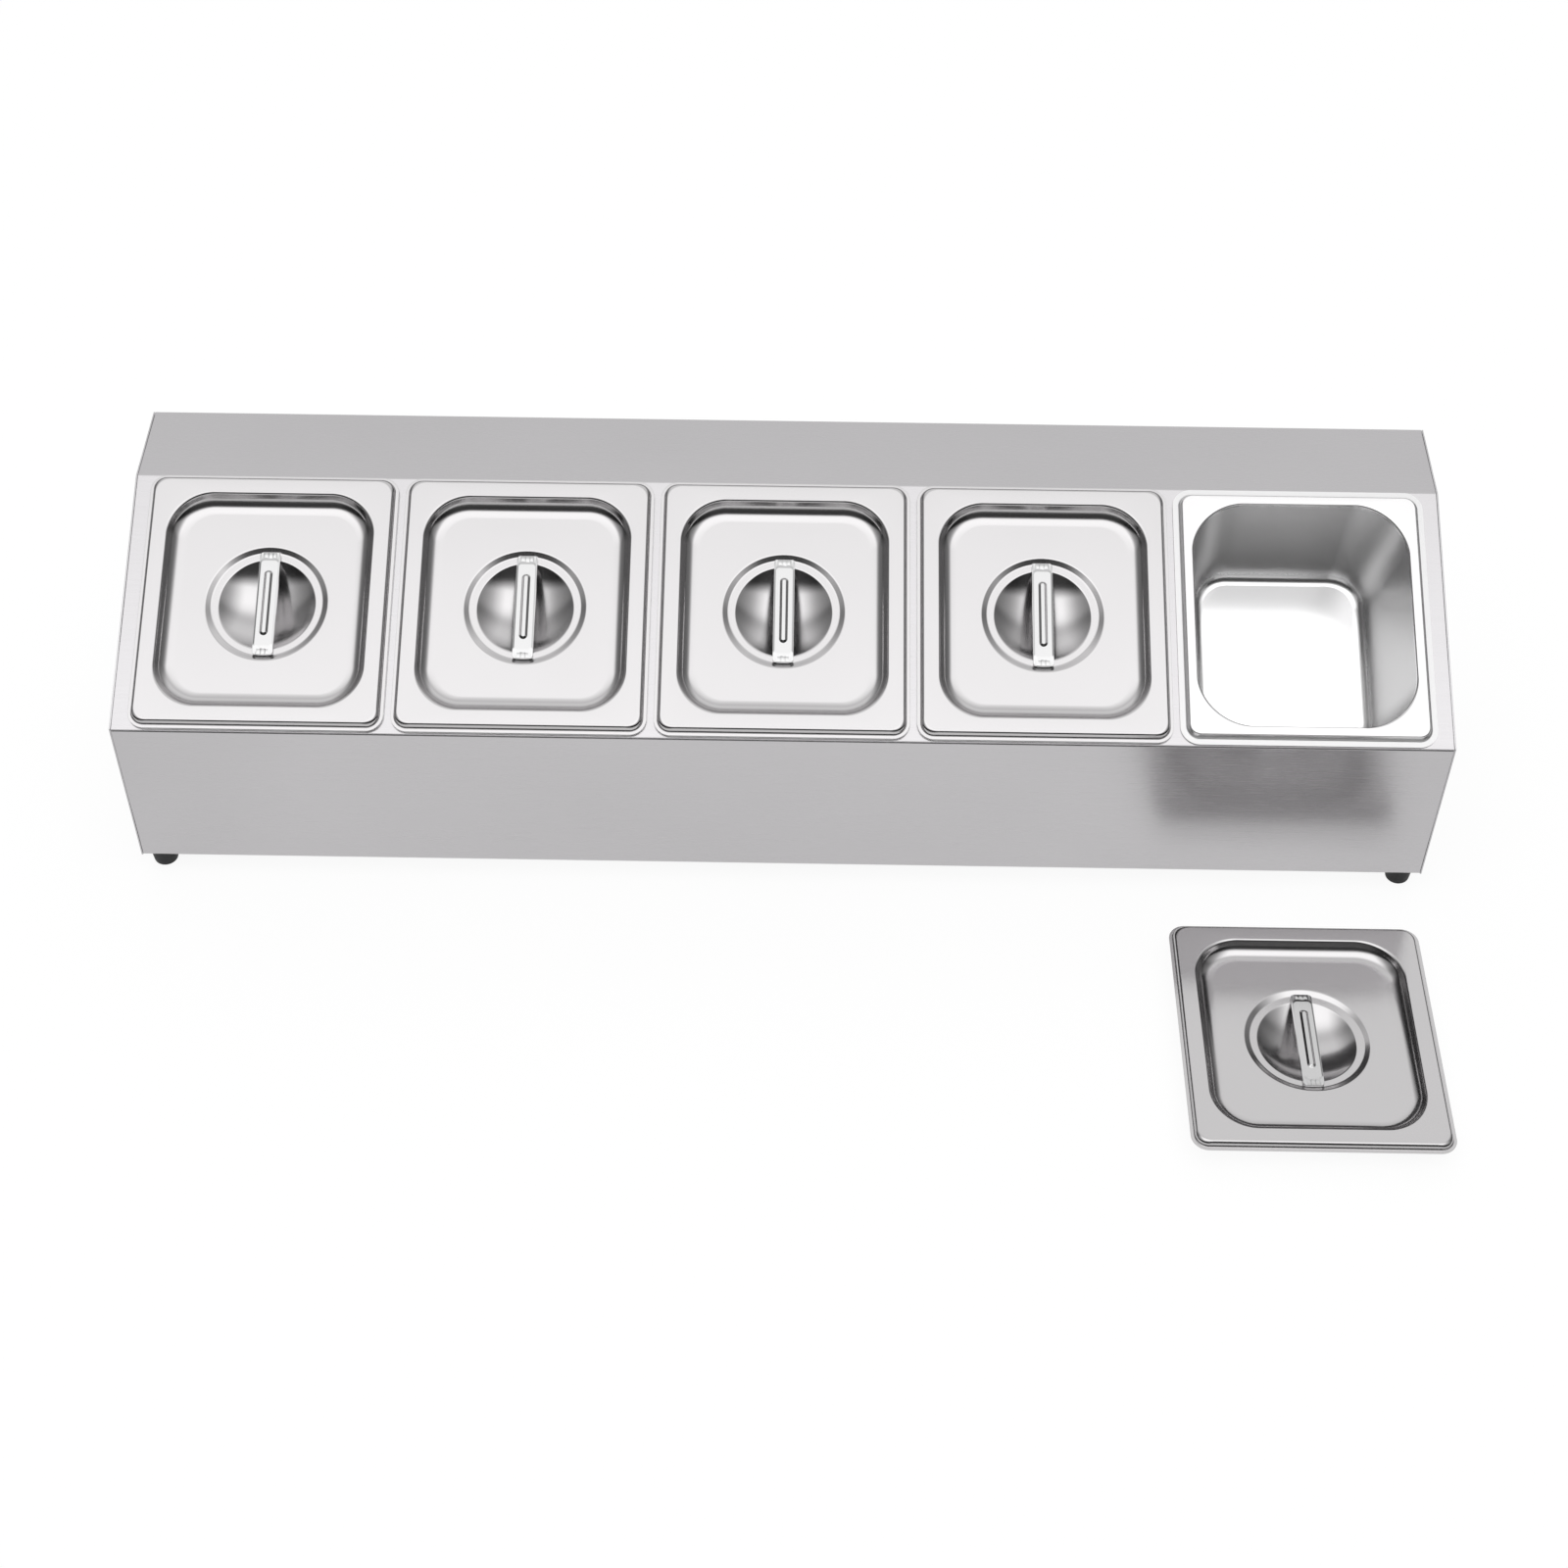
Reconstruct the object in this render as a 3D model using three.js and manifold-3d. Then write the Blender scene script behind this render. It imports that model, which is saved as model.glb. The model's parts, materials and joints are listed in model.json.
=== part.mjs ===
// Inclined condiment holder: a folded steel stand with a sloping deck, five lift-out food pans,
// their pressed lids with strap handles, and four rubber feet. One lid lies on the counter in front.
// Millimetres, +Z up, +X along the stand, +Y from the front to the back.

import * as THREE from "three";
import { mergeVertices } from "three/addons/utils/BufferGeometryUtils.js";
import Module from "manifold-3d";

const wasm = await Module();
wasm.setup();

// Stand
const standSheet = 1;
const frontHeight = 119.5;
const deckTilt = THREE.MathUtils.degToRad(23.6);
const deckMargin = 0.5;
const endMargin = 11;
const shelfDepth = 64.5;
const baseFlange = 30;
const endFlange = 15;
const backLip = 8;
const seam = 0.3;

// Pans
const panCount = 5;
const panGap = 4;
const panWidth = 162;
const panLength = 176;
const panDepth = 88;
const panSheet = 0.8;
const panLip = 4;
const panLipCorner = 12;
const panRimRise = 4.2;
const panRimWidth = 7.5;
const panMouthCorner = 36;
const panWallInset = 12;
const panFloorFillet = 7.5;
const cutoutClearance = 4.5;
const seatGap = 0.3;

// Lids
const lidSheet = 0.8;
const lidSkirtClearance = 0.7;
const lidLip = 2.2;
const lidPlateCorner = 8;
const recessClearance = 2;
const recessCornerEase = 3;
const recessRun = 11.5;
const recessDepth = 8.3;
const recessEdgeRadius = 1.6;
const ringRadius = 39.4;
const ringRun = 3.8;
const ringDrop = 1.7;
const bowlRadius = 31.2;
const bowlFlatRadius = 8;
const bowlDepth = 10.4;

// Strap handles
const strapTopWidth = 11;
const strapBaseWidth = 14;
const strapSheet = 1;
const strapRise = 2.3;
const strapEndMargin = 0.4;
const strapFoot = 4.2;
const beadLength = 45;
const beadWidth = 5.3;
const beadHeight = 1.3;

// Feet
const footHeight = 18;
const footTopRadius = 9.5;
const footBottomRadius = 7.8;
const footEdgeRadius = 1.8;
const footEndInset = 11.3;
const footFaceInset = 13.8;
const studRadius = 2.5;
const studTopLength = 8.5;
const studDepthInFoot = 11;
const studChamfer = 0.6;
const holeClearance = 0.3;
const washerRadius = 5;
const washerThickness = 1;
const nutAcrossFlats = 8;
const nutHeight = 4;

// The lid taken off the last pan lies in front of that pan, a little further along the stand
const looseLidGap = 47;
const looseLidShift = 1.2;

// Facets
const cornerSegments = 5;
const turnSegments = 16;
const bowlSteps = 3;
const beadEndSegments = 5;

// Sizes that follow from the ones above
const panPitch = panWidth + panGap;
const standWidth = panPitch * panCount - panGap + 2 * endMargin;
const innerWidth = standWidth - 2 * (standSheet + seam);
const deckLength = panLength + 2 * deckMargin;
const creaseY = deckLength * Math.cos(deckTilt);
const shelfZ = frontHeight + deckLength * Math.sin(deckTilt);
const standDepth = creaseY + shelfDepth;
const panCentreS = deckLength / 2;
const cutReach = 4 * standSheet;

const lipHalf = { x: panWidth / 2, y: panLength / 2, corner: panLipCorner };
const rimHalf = grown(lipHalf, -panLip);
const mouthHalf = { ...grown(rimHalf, -panRimWidth), corner: panMouthCorner };
const cutoutHalf = grown(mouthHalf, panSheet + cutoutClearance);
const panLipTop = seatGap + panSheet;
const panRimTop = panLipTop + panRimRise;
const panFloorZ = panRimTop - panDepth;
const frontLip = panCentreS - cutoutHalf.y - standSheet;

const lidSeatZ = panLipTop + seatGap;
const lidPlateTop = panRimTop + seatGap + lidSheet - lidSeatZ;
const plateHalf = { ...grown(rimHalf, lidSheet + lidSkirtClearance), corner: lidPlateCorner };
const lidLipHalf = grown(plateHalf, lidLip);
const recessHalf = {
  ...grown(mouthHalf, -recessClearance),
  corner: panMouthCorner - recessClearance - recessCornerEase,
};
const recessFloorZ = lidPlateTop - recessDepth;
const ringFloorZ = recessFloorZ - ringDrop;
const ringInnerRadius = ringRadius - ringRun;
const bowlBottomZ = ringFloorZ - bowlDepth;
const strapHalfLength = ringInnerRadius - strapEndMargin;

const lastPanX = (panPitch * (panCount - 1)) / 2;
const looseLidX = lastPanX + looseLidShift;
const looseLidY = -looseLidGap - lidLipHalf.y;
const looseLidFrontY = looseLidY - lidLipHalf.y;
const footprintMiddleY = (standDepth + looseLidFrontY) / 2;

const steel = new THREE.MeshStandardMaterial({ color: 0xbfc0c2, metalness: 1, roughness: 0.32 });
const brightSteel = new THREE.MeshStandardMaterial({ color: 0xd6d7d9, metalness: 1, roughness: 0.16 });
const zincSteel = new THREE.MeshStandardMaterial({ color: 0xa9abad, metalness: 1, roughness: 0.4 });
const blackRubber = new THREE.MeshStandardMaterial({ color: 0x1c1d1f, metalness: 0, roughness: 0.75 });

// A rounded rectangle's half sizes and corner radius, moved outwards by an offset
function grown(half, offset) {
  return { x: half.x + offset, y: half.y + offset, corner: half.corner + offset };
}

// Points of a rounded rectangle at one height, anticlockwise seen from above
function roundedRing(half, z) {
  const points = [];
  for (let quarter = 0; quarter < 4; quarter++) {
    const signX = quarter === 0 || quarter === 3 ? 1 : -1;
    const signY = quarter < 2 ? 1 : -1;
    for (let step = 0; step <= cornerSegments; step++) {
      const angle = (quarter + step / cornerSegments) * (Math.PI / 2);
      const x = signX * (half.x - half.corner) + half.corner * Math.cos(angle);
      const y = signY * (half.y - half.corner) + half.corner * Math.sin(angle);
      points.push(new THREE.Vector3(x, y, z));
    }
  }
  return points;
}

// A circle with as many points as a rounded rectangle has
function roundRing(radius, z) {
  const count = 4 * (cornerSegments + 1);
  const points = [];
  for (let i = 0; i < count; i++) {
    const angle = ((i + 0.5) / count) * 2 * Math.PI;
    points.push(new THREE.Vector3(radius * Math.cos(angle), radius * Math.sin(angle), z));
  }
  return points;
}

// The closed skin over rings that run up the outside of a pressing and down its inside
function loft(rings) {
  const count = rings[0].length;
  const points = rings.flat();
  const faces = [];
  for (let ring = 0; ring + 1 < rings.length; ring++) {
    for (let i = 0; i < count; i++) {
      const here = ring * count + i;
      const next = ring * count + ((i + 1) % count);
      faces.push(here, next, next + count, here, next + count, here + count);
    }
  }
  const lastRing = (rings.length - 1) * count;
  const firstCentre = points.length;
  points.push(new THREE.Vector3(0, 0, rings[0][0].z));
  points.push(new THREE.Vector3(0, 0, rings[rings.length - 1][0].z));
  for (let i = 0; i < count; i++) {
    const next = (i + 1) % count;
    faces.push(firstCentre, next, i);
    faces.push(firstCentre + 1, lastRing + i, lastRing + next);
  }
  return new THREE.BufferGeometry().setFromPoints(points).setIndex(faces);
}

// Geometry as a solid that can be joined and cut
function solidOf(geometry) {
  const bare = new THREE.BufferGeometry();
  bare.setAttribute("position", geometry.getAttribute("position"));
  bare.setIndex(geometry.getIndex());
  const merged = mergeVertices(bare);
  const vertProperties = merged.getAttribute("position").array;
  const triVerts = new Uint32Array(merged.getIndex().array);
  return new wasm.Manifold(new wasm.Mesh({ numProp: 3, vertProperties, triVerts }));
}

function geometryOf(solid) {
  const mesh = solid.getMesh();
  const geometry = new THREE.BufferGeometry();
  geometry.setAttribute("position", new THREE.BufferAttribute(mesh.vertProperties, 3));
  geometry.setIndex(new THREE.BufferAttribute(mesh.triVerts, 1));
  return geometry;
}

// A section drawn as points (y, z), drawn out along X and centred on it
function alongX(section, width) {
  const shape = new THREE.Shape(section.map(([y, z]) => new THREE.Vector2(y, z)));
  const geometry = new THREE.ExtrudeGeometry(shape, { depth: width, bevelEnabled: false });
  geometry.translate(0, 0, -width / 2);
  const turn = new THREE.Matrix4().makeBasis(
    new THREE.Vector3(0, 1, 0),
    new THREE.Vector3(0, 0, 1),
    new THREE.Vector3(1, 0, 0),
  );
  return geometry.applyMatrix4(turn);
}

// An upright prism of a rounded rectangle or of any shape, from one height to another
function upright(shape, fromZ, toZ, curveSegments) {
  const options = { depth: toZ - fromZ, bevelEnabled: false, curveSegments };
  return new THREE.ExtrudeGeometry(shape, options).translate(0, 0, fromZ);
}

function block(x0, x1, y0, y1, z0, z1) {
  const geometry = new THREE.BoxGeometry(x1 - x0, y1 - y0, z1 - z0);
  return geometry.translate((x0 + x1) / 2, (y0 + y1) / 2, (z0 + z1) / 2);
}

// A turned piece about +Z, from its profile of points (radius, z)
function turned(profile) {
  const points = profile.map(([radius, z]) => new THREE.Vector2(radius, z));
  return new THREE.LatheGeometry(points, turnSegments).rotateX(Math.PI / 2);
}

function named(name, geometry, material) {
  const mesh = new THREE.Mesh(geometry, material);
  mesh.name = name;
  return mesh;
}

// Where the feet stand under the base flanges
const footPlaces = [
  { name: "front_left", x: footEndInset - standWidth / 2, y: footFaceInset },
  { name: "front_right", x: standWidth / 2 - footEndInset, y: footFaceInset },
  { name: "back_left", x: footEndInset - standWidth / 2, y: standDepth - footFaceInset },
  { name: "back_right", x: standWidth / 2 - footEndInset, y: standDepth - footFaceInset },
];

// Panels with a base flange are drilled for the studs of the feet
function drilled(geometry) {
  let solid = solidOf(geometry);
  const drill = new THREE.CylinderGeometry(
    studRadius + holeClearance,
    studRadius + holeClearance,
    2 * cutReach,
    turnSegments,
  ).rotateX(Math.PI / 2);
  for (const place of footPlaces) {
    solid = solid.subtract(solidOf(drill.clone().translate(place.x, place.y, 0)));
  }
  return geometryOf(solid);
}

function frontPanel() {
  const rise = Math.tan(deckTilt);
  const thick = standSheet / Math.cos(deckTilt);
  const webTop = frontHeight - thick - seam / Math.cos(deckTilt);
  const lipY = frontLip * Math.cos(deckTilt);
  const lipZ = webTop + frontLip * Math.sin(deckTilt);
  const section = [
    [baseFlange, 0],
    [baseFlange, standSheet],
    [standSheet, standSheet],
    [standSheet, webTop + standSheet * rise - thick],
    [lipY + standSheet * Math.sin(deckTilt), lipZ - standSheet * Math.cos(deckTilt)],
    [lipY, lipZ],
    [0, webTop],
    [0, 0],
  ];
  return drilled(alongX(section, innerWidth));
}

function backPanel() {
  const top = shelfZ - standSheet - seam;
  const inner = standDepth - standSheet;
  const section = [
    [standDepth - baseFlange, 0],
    [standDepth, 0],
    [standDepth, top],
    [standDepth - backLip, top],
    [standDepth - backLip, top - standSheet],
    [inner, top - standSheet],
    [inner, standSheet],
    [standDepth - baseFlange, standSheet],
  ];
  return drilled(alongX(section, innerWidth));
}

// The sloping deck and the level shelf behind it, one sheet folded at the crease
function deckSheet() {
  const creaseShift = standSheet * Math.tan(deckTilt / 2);
  const section = [
    [0, frontHeight - standSheet / Math.cos(deckTilt)],
    [creaseY + creaseShift, shelfZ - standSheet],
    [standDepth, shelfZ - standSheet],
    [standDepth, shelfZ],
    [creaseY, shelfZ],
    [0, frontHeight],
  ];
  const shape = new THREE.Shape(roundedRing(cutoutHalf, 0));
  const cutter = upright(shape, -cutReach, cutReach, cornerSegments);
  let solid = solidOf(alongX(section, innerWidth));
  for (let i = 0; i < panCount; i++) {
    const hole = cutter.clone();
    hole.translate(lastPanX - i * panPitch, panCentreS, 0);
    hole.rotateX(deckTilt).translate(0, 0, frontHeight);
    solid = solid.subtract(solidOf(hole));
  }
  return geometryOf(solid);
}

// An end panel with its base flange turned in, drawn for the end at the given side of the stand
function endPanel(side) {
  const outline = [
    [0, 0],
    [standDepth, 0],
    [standDepth, shelfZ],
    [creaseY, shelfZ],
    [0, frontHeight],
  ];
  const outerX = (side * standWidth) / 2;
  const innerX = outerX - side * standSheet;
  const flangeX = innerX - side * endFlange;
  const rootX = (outerX + innerX) / 2;
  const wall = alongX(outline, standSheet).translate(rootX, 0, 0);
  const flange = block(
    Math.min(flangeX, rootX),
    Math.max(flangeX, rootX),
    baseFlange + seam,
    standDepth - baseFlange - seam,
    0,
    standSheet,
  );
  return geometryOf(solidOf(wall).add(solidOf(flange)));
}

// A pan at its place on the deck: z is 0 on the deck's face
function pan() {
  const filletBend = panFloorFillet * (1 - Math.SQRT1_2);
  const sheetBend = panSheet * Math.SQRT1_2;
  const wallFoot = grown(mouthHalf, -panWallInset);
  const filletMiddle = grown(wallFoot, -filletBend);
  const floorEdge = grown(wallFoot, -panFloorFillet);
  const wallFootZ = panFloorZ + panFloorFillet;
  return loft([
    roundedRing(floorEdge, panFloorZ - panSheet),
    roundedRing(grown(filletMiddle, sheetBend), panFloorZ + filletBend - sheetBend),
    roundedRing(grown(wallFoot, panSheet), wallFootZ),
    roundedRing(grown(mouthHalf, panSheet), panRimTop - panSheet),
    roundedRing(grown(rimHalf, -panSheet), panRimTop - panSheet),
    roundedRing(grown(rimHalf, -panSheet), seatGap),
    roundedRing(lipHalf, seatGap),
    roundedRing(lipHalf, panLipTop),
    roundedRing(rimHalf, panLipTop),
    roundedRing(rimHalf, panRimTop),
    roundedRing(mouthHalf, panRimTop),
    roundedRing(wallFoot, wallFootZ),
    roundedRing(filletMiddle, panFloorZ + filletBend),
    roundedRing(floorEdge, panFloorZ),
  ]);
}

// Depth of the finger bowl below its edge: part of a sphere that ends in a small flat
function bowlDrop(radius) {
  const chords = (bowlRadius ** 2 - bowlFlatRadius ** 2) / bowlDepth;
  const flatToCentre = (chords + bowlDepth) / 2;
  const sphereSquared = flatToCentre ** 2 + bowlFlatRadius ** 2;
  return Math.sqrt(sphereSquared - radius ** 2) - (flatToCentre - bowlDepth);
}

// The face of a lid from its plate's edge in to the middle of its bowl, lowered by an offset
function lidFace(lower) {
  const edgeHalf = grown(recessHalf, -recessEdgeRadius);
  const floorHalf = grown(recessHalf, -recessRun);
  const footHalf = grown(floorHalf, recessEdgeRadius);
  const edgeDrop = recessEdgeRadius / 2;
  const rings = [
    roundedRing(recessHalf, lidPlateTop - lower),
    roundedRing(edgeHalf, lidPlateTop - edgeDrop - lower),
    roundedRing(footHalf, recessFloorZ + edgeDrop - lower),
    roundedRing(floorHalf, recessFloorZ - lower),
    roundRing(ringRadius, recessFloorZ - lower),
    roundRing(ringInnerRadius, ringFloorZ - lower),
  ];
  for (let step = 0; step <= bowlSteps; step++) {
    const radius = bowlRadius - ((bowlRadius - bowlFlatRadius) * step) / bowlSteps;
    rings.push(roundRing(radius, ringFloorZ - bowlDrop(radius) - lower));
  }
  return rings;
}

// A lid: z is 0 under the lip that rests on the pan's lip
function lid() {
  return loft([
    ...lidFace(lidSheet).reverse(),
    roundedRing(grown(plateHalf, -lidSheet), lidPlateTop - lidSheet),
    roundedRing(grown(plateHalf, -lidSheet), 0),
    roundedRing(lidLipHalf, 0),
    roundedRing(lidLipHalf, lidSheet),
    roundedRing(plateHalf, lidSheet),
    roundedRing(plateHalf, lidPlateTop),
    ...lidFace(0),
  ]);
}

// A strap handle in its lid's frame: a shallow channel across the bowl with a foot at each end
function strapHandle() {
  const baseZ = ringFloorZ + seatGap;
  const topZ = baseZ + strapRise;
  const underZ = topZ - strapSheet;
  const top = strapTopWidth / 2;
  const base = strapBaseWidth / 2;
  const outside = [
    [-base, baseZ],
    [base, baseZ],
    [top, topZ],
    [-top, topZ],
  ];
  const inside = [
    [-base + strapSheet, baseZ - strapSheet],
    [base - strapSheet, baseZ - strapSheet],
    [base - strapSheet, baseZ],
    [top - strapSheet / 2, underZ],
    [strapSheet / 2 - top, underZ],
    [strapSheet - base, baseZ],
  ];
  const quarterTurn = Math.PI / 2;
  const channel = alongX(outside, 2 * strapHalfLength).rotateZ(quarterTurn);
  const hollow = alongX(inside, 2 * (strapHalfLength - strapFoot)).rotateZ(quarterTurn);
  const beadRadius = beadWidth / 2;
  const beadStraight = beadLength / 2 - beadRadius;
  const beadShape = new THREE.Shape();
  beadShape.absarc(0, beadStraight, beadRadius, 0, Math.PI, false);
  beadShape.absarc(0, -beadStraight, beadRadius, Math.PI, 2 * Math.PI, false);
  const bead = upright(beadShape, topZ - strapSheet / 2, topZ + beadHeight, beadEndSegments);
  return geometryOf(solidOf(channel).subtract(solidOf(hollow)).add(solidOf(bead)));
}

// A rubber foot below the base flange, with a blind hole for its stud
function foot() {
  const holeRadius = studRadius + holeClearance;
  const holeEnd = -studDepthInFoot - holeClearance;
  const edgeBend = footEdgeRadius * (1 - Math.SQRT1_2);
  return turned([
    [0, -footHeight],
    [footBottomRadius - footEdgeRadius, -footHeight],
    [footBottomRadius - edgeBend, edgeBend - footHeight],
    [footBottomRadius, footEdgeRadius - footHeight],
    [footTopRadius, -seam],
    [holeRadius, -seam],
    [holeRadius, holeEnd],
    [0, holeEnd],
  ]);
}

function footStud() {
  return turned([
    [0, -studDepthInFoot],
    [studRadius, -studDepthInFoot],
    [studRadius, studTopLength - studChamfer],
    [studRadius - studChamfer, studTopLength],
    [0, studTopLength],
  ]);
}

const washerZ = standSheet + seam;
const nutZ = washerZ + washerThickness + seam;

function footWasher() {
  const holeRadius = studRadius + holeClearance;
  return turned([
    [holeRadius, washerZ],
    [washerRadius, washerZ],
    [washerRadius, washerZ + washerThickness],
    [holeRadius, washerZ + washerThickness],
    [holeRadius, washerZ],
  ]);
}

function footNut() {
  const cornerRadius = nutAcrossFlats / Math.sqrt(3);
  const hexagon = new THREE.Shape();
  for (let corner = 0; corner < 6; corner++) {
    const angle = (corner * Math.PI) / 3;
    const place = [cornerRadius * Math.cos(angle), cornerRadius * Math.sin(angle)];
    if (corner === 0) hexagon.moveTo(...place);
    else hexagon.lineTo(...place);
  }
  const bore = new THREE.Path();
  bore.absarc(0, 0, studRadius + holeClearance, 0, 2 * Math.PI, true);
  hexagon.holes.push(bore);
  return upright(hexagon, nutZ, nutZ + nutHeight, turnSegments);
}

// The stand: y is 0 on the face of the front panel, z is 0 under the base flanges
const stand = new THREE.Group();
stand.position.set(0, -footprintMiddleY, footHeight);
stand.add(
  named("front_panel", frontPanel(), steel),
  named("deck_sheet", deckSheet(), steel),
  named("back_panel", backPanel(), steel),
  named("left_end_panel", endPanel(-1), steel),
  named("right_end_panel", endPanel(1), steel),
);

for (const place of footPlaces) {
  const corner = new THREE.Group();
  corner.position.set(place.x, place.y, 0);
  corner.add(
    named(`foot_${place.name}`, foot(), blackRubber),
    named(`foot_stud_${place.name}`, footStud(), zincSteel),
    named(`foot_washer_${place.name}`, footWasher(), zincSteel),
    named(`foot_nut_${place.name}`, footNut(), zincSteel),
  );
  stand.add(corner);
}

// The deck: y runs up the slope from the front edge, z stands square on its face
const deck = new THREE.Group();
deck.position.set(0, 0, frontHeight);
deck.rotation.x = deckTilt;
stand.add(deck);

function lidGroup(number) {
  const group = new THREE.Group();
  group.add(named(`lid_${number}`, lid(), brightSteel));
  group.add(named(`lid_handle_${number}`, strapHandle(), brightSteel));
  return group;
}

for (let number = 1; number <= panCount; number++) {
  const place = new THREE.Group();
  place.position.set((number - 1) * panPitch - lastPanX, panCentreS, 0);
  place.add(named(`pan_${number}`, pan(), brightSteel));
  deck.add(place);
  const cover = lidGroup(number);
  if (number < panCount) {
    cover.position.z = lidSeatZ;
    place.add(cover);
  } else {
    cover.position.set(looseLidX, looseLidY, lidSheet - bowlBottomZ - footHeight);
    stand.add(cover);
  }
}

const condimentHolder = new THREE.Group();
condimentHolder.add(stand);

export default condimentHolder;
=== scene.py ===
"""Inclined condiment holder: a folded steel stand with five pressed pans, lids, straps and rubber feet.

Metres, +Z up, +X along the stand and +Y from its front to its back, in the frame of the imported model.
"""

import json
import math
from typing import NamedTuple

import bmesh
import bpy
from mathutils import Matrix, Vector


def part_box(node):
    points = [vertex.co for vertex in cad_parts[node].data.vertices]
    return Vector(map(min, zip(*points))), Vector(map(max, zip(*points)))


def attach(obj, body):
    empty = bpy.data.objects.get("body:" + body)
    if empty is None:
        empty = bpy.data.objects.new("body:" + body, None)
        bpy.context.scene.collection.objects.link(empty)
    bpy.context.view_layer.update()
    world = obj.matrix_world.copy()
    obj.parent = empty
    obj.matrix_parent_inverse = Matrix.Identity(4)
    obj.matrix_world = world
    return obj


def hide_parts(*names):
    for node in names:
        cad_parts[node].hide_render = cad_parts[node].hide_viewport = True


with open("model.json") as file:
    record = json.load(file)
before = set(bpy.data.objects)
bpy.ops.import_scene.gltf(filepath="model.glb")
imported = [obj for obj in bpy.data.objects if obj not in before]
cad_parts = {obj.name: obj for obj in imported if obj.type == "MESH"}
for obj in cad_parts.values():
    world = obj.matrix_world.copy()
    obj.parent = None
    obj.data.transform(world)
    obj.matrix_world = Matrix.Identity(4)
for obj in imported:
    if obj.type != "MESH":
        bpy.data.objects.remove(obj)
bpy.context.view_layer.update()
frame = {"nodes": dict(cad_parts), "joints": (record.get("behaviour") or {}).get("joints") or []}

bl_info = {
    "name": "Inclined condiment holder",
    "version": (1, 0, 0),
    "blender": (4, 5, 0),
    "location": "3D View > Sidebar > Holder",
    "description": "Models a folded steel stand with five lift-out pans, their lids and its feet",
    "category": "Add Mesh",
}

# Places read from the frame
FOOT_PLACES = ("front_left", "front_right", "back_left", "back_right")
FASTENERS = ("foot_stud", "foot_washer", "foot_nut")
PAN_NUMBERS = range(1, 6)
FRONT_LOW, FRONT_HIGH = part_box("front_panel")
DECK_LOW, DECK_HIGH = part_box("deck_sheet")
BACK_LOW, BACK_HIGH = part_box("back_panel")
PAN_LIFT = next(joint for joint in frame["joints"] if joint["name"] == "pan_1_lift")
DECK_TILT = math.atan2(-PAN_LIFT["axis"][1], PAN_LIFT["axis"][2])

# How finely the pieces are rounded
CORNER_STEPS = 23
RING_POINTS = 4 * (CORNER_STEPS + 1)
BOWL_STEPS = 14
BEND_STEPS = 4
WIDE_BEND_STEPS = 10
EASE_STEPS = 2
SHARP_ANGLE = math.radians(40)
# How near counts as touching
TOUCH = 2e-6
# How much of a half circle the ends of a bead take, and of a strap's width the foot of its ramps
SLACK = 0.98
# How far a cutter reaches past the sheet's face, and how far above the last outline the next is drawn
CUT_REACH = 0.004
BRIDGE_REACH = 0.2
# How many welds hold each end of a strap
WELDS_PER_END = 3


def length(name, description, default):
    """A size in metres that a user would change."""
    return bpy.props.FloatProperty(
        name=name, description=description, default=default, min=0.0, precision=5, unit="LENGTH"
    )


def share(name, description, default):
    """A number from nothing to one, such as a roughness."""
    return bpy.props.FloatProperty(
        name=name, description=description, default=default, min=0.0, max=1.0, subtype="FACTOR"
    )


def turn(name, description, degrees):
    """An angle, given in degrees."""
    return bpy.props.FloatProperty(
        name=name, description=description, default=math.radians(degrees), subtype="ANGLE"
    )


def spot(name, description, default):
    """Where something stands, in metres."""
    return bpy.props.FloatVectorProperty(
        name=name, description=description, default=default, size=3, subtype="TRANSLATION", unit="LENGTH"
    )


def level(name, description, default):
    """How bright a light or a part of the studio is."""
    return bpy.props.FloatProperty(name=name, description=description, default=default, min=0.0)


def colour(name, description, default):
    """A surface colour."""
    return bpy.props.FloatVectorProperty(
        name=name, description=description, default=default, size=4, min=0.0, max=1.0, subtype="COLOR"
    )


class StandSizes(bpy.types.PropertyGroup):
    """Sizes of the folded stand."""

    sheet: length("Sheet", "Thickness of the stand's sheet", 0.001)
    bend: length("Bend", "Outside radius of its folds", 0.0016)
    crease_bend: length("Crease bend", "Radius of the fold between deck and shelf", 0.002)
    front_lip: length("Front lip", "Lip of the front panel under the deck", 0.0057)
    back_lip: length("Back lip", "Lip of the back panel under the shelf", 0.008)
    end_flange: length("End flange", "Flange turned in under an end panel", 0.015)
    seam: length("Seam", "Gap between neighbouring sheets", 0.0003)
    cutout_width: length("Cut-out width", "Width of the opening for a pan", 0.1496)
    cutout_length: length("Cut-out length", "Length of the opening up the slope", 0.1636)
    cutout_corner: length("Cut-out corner", "Corner radius of the opening", 0.0413)
    stud_hole: length("Stud hole", "Radius of the hole for a foot's stud", 0.0028)
    edge_break: length("Edge break", "How far cut edges are eased", 0.00018)


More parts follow.
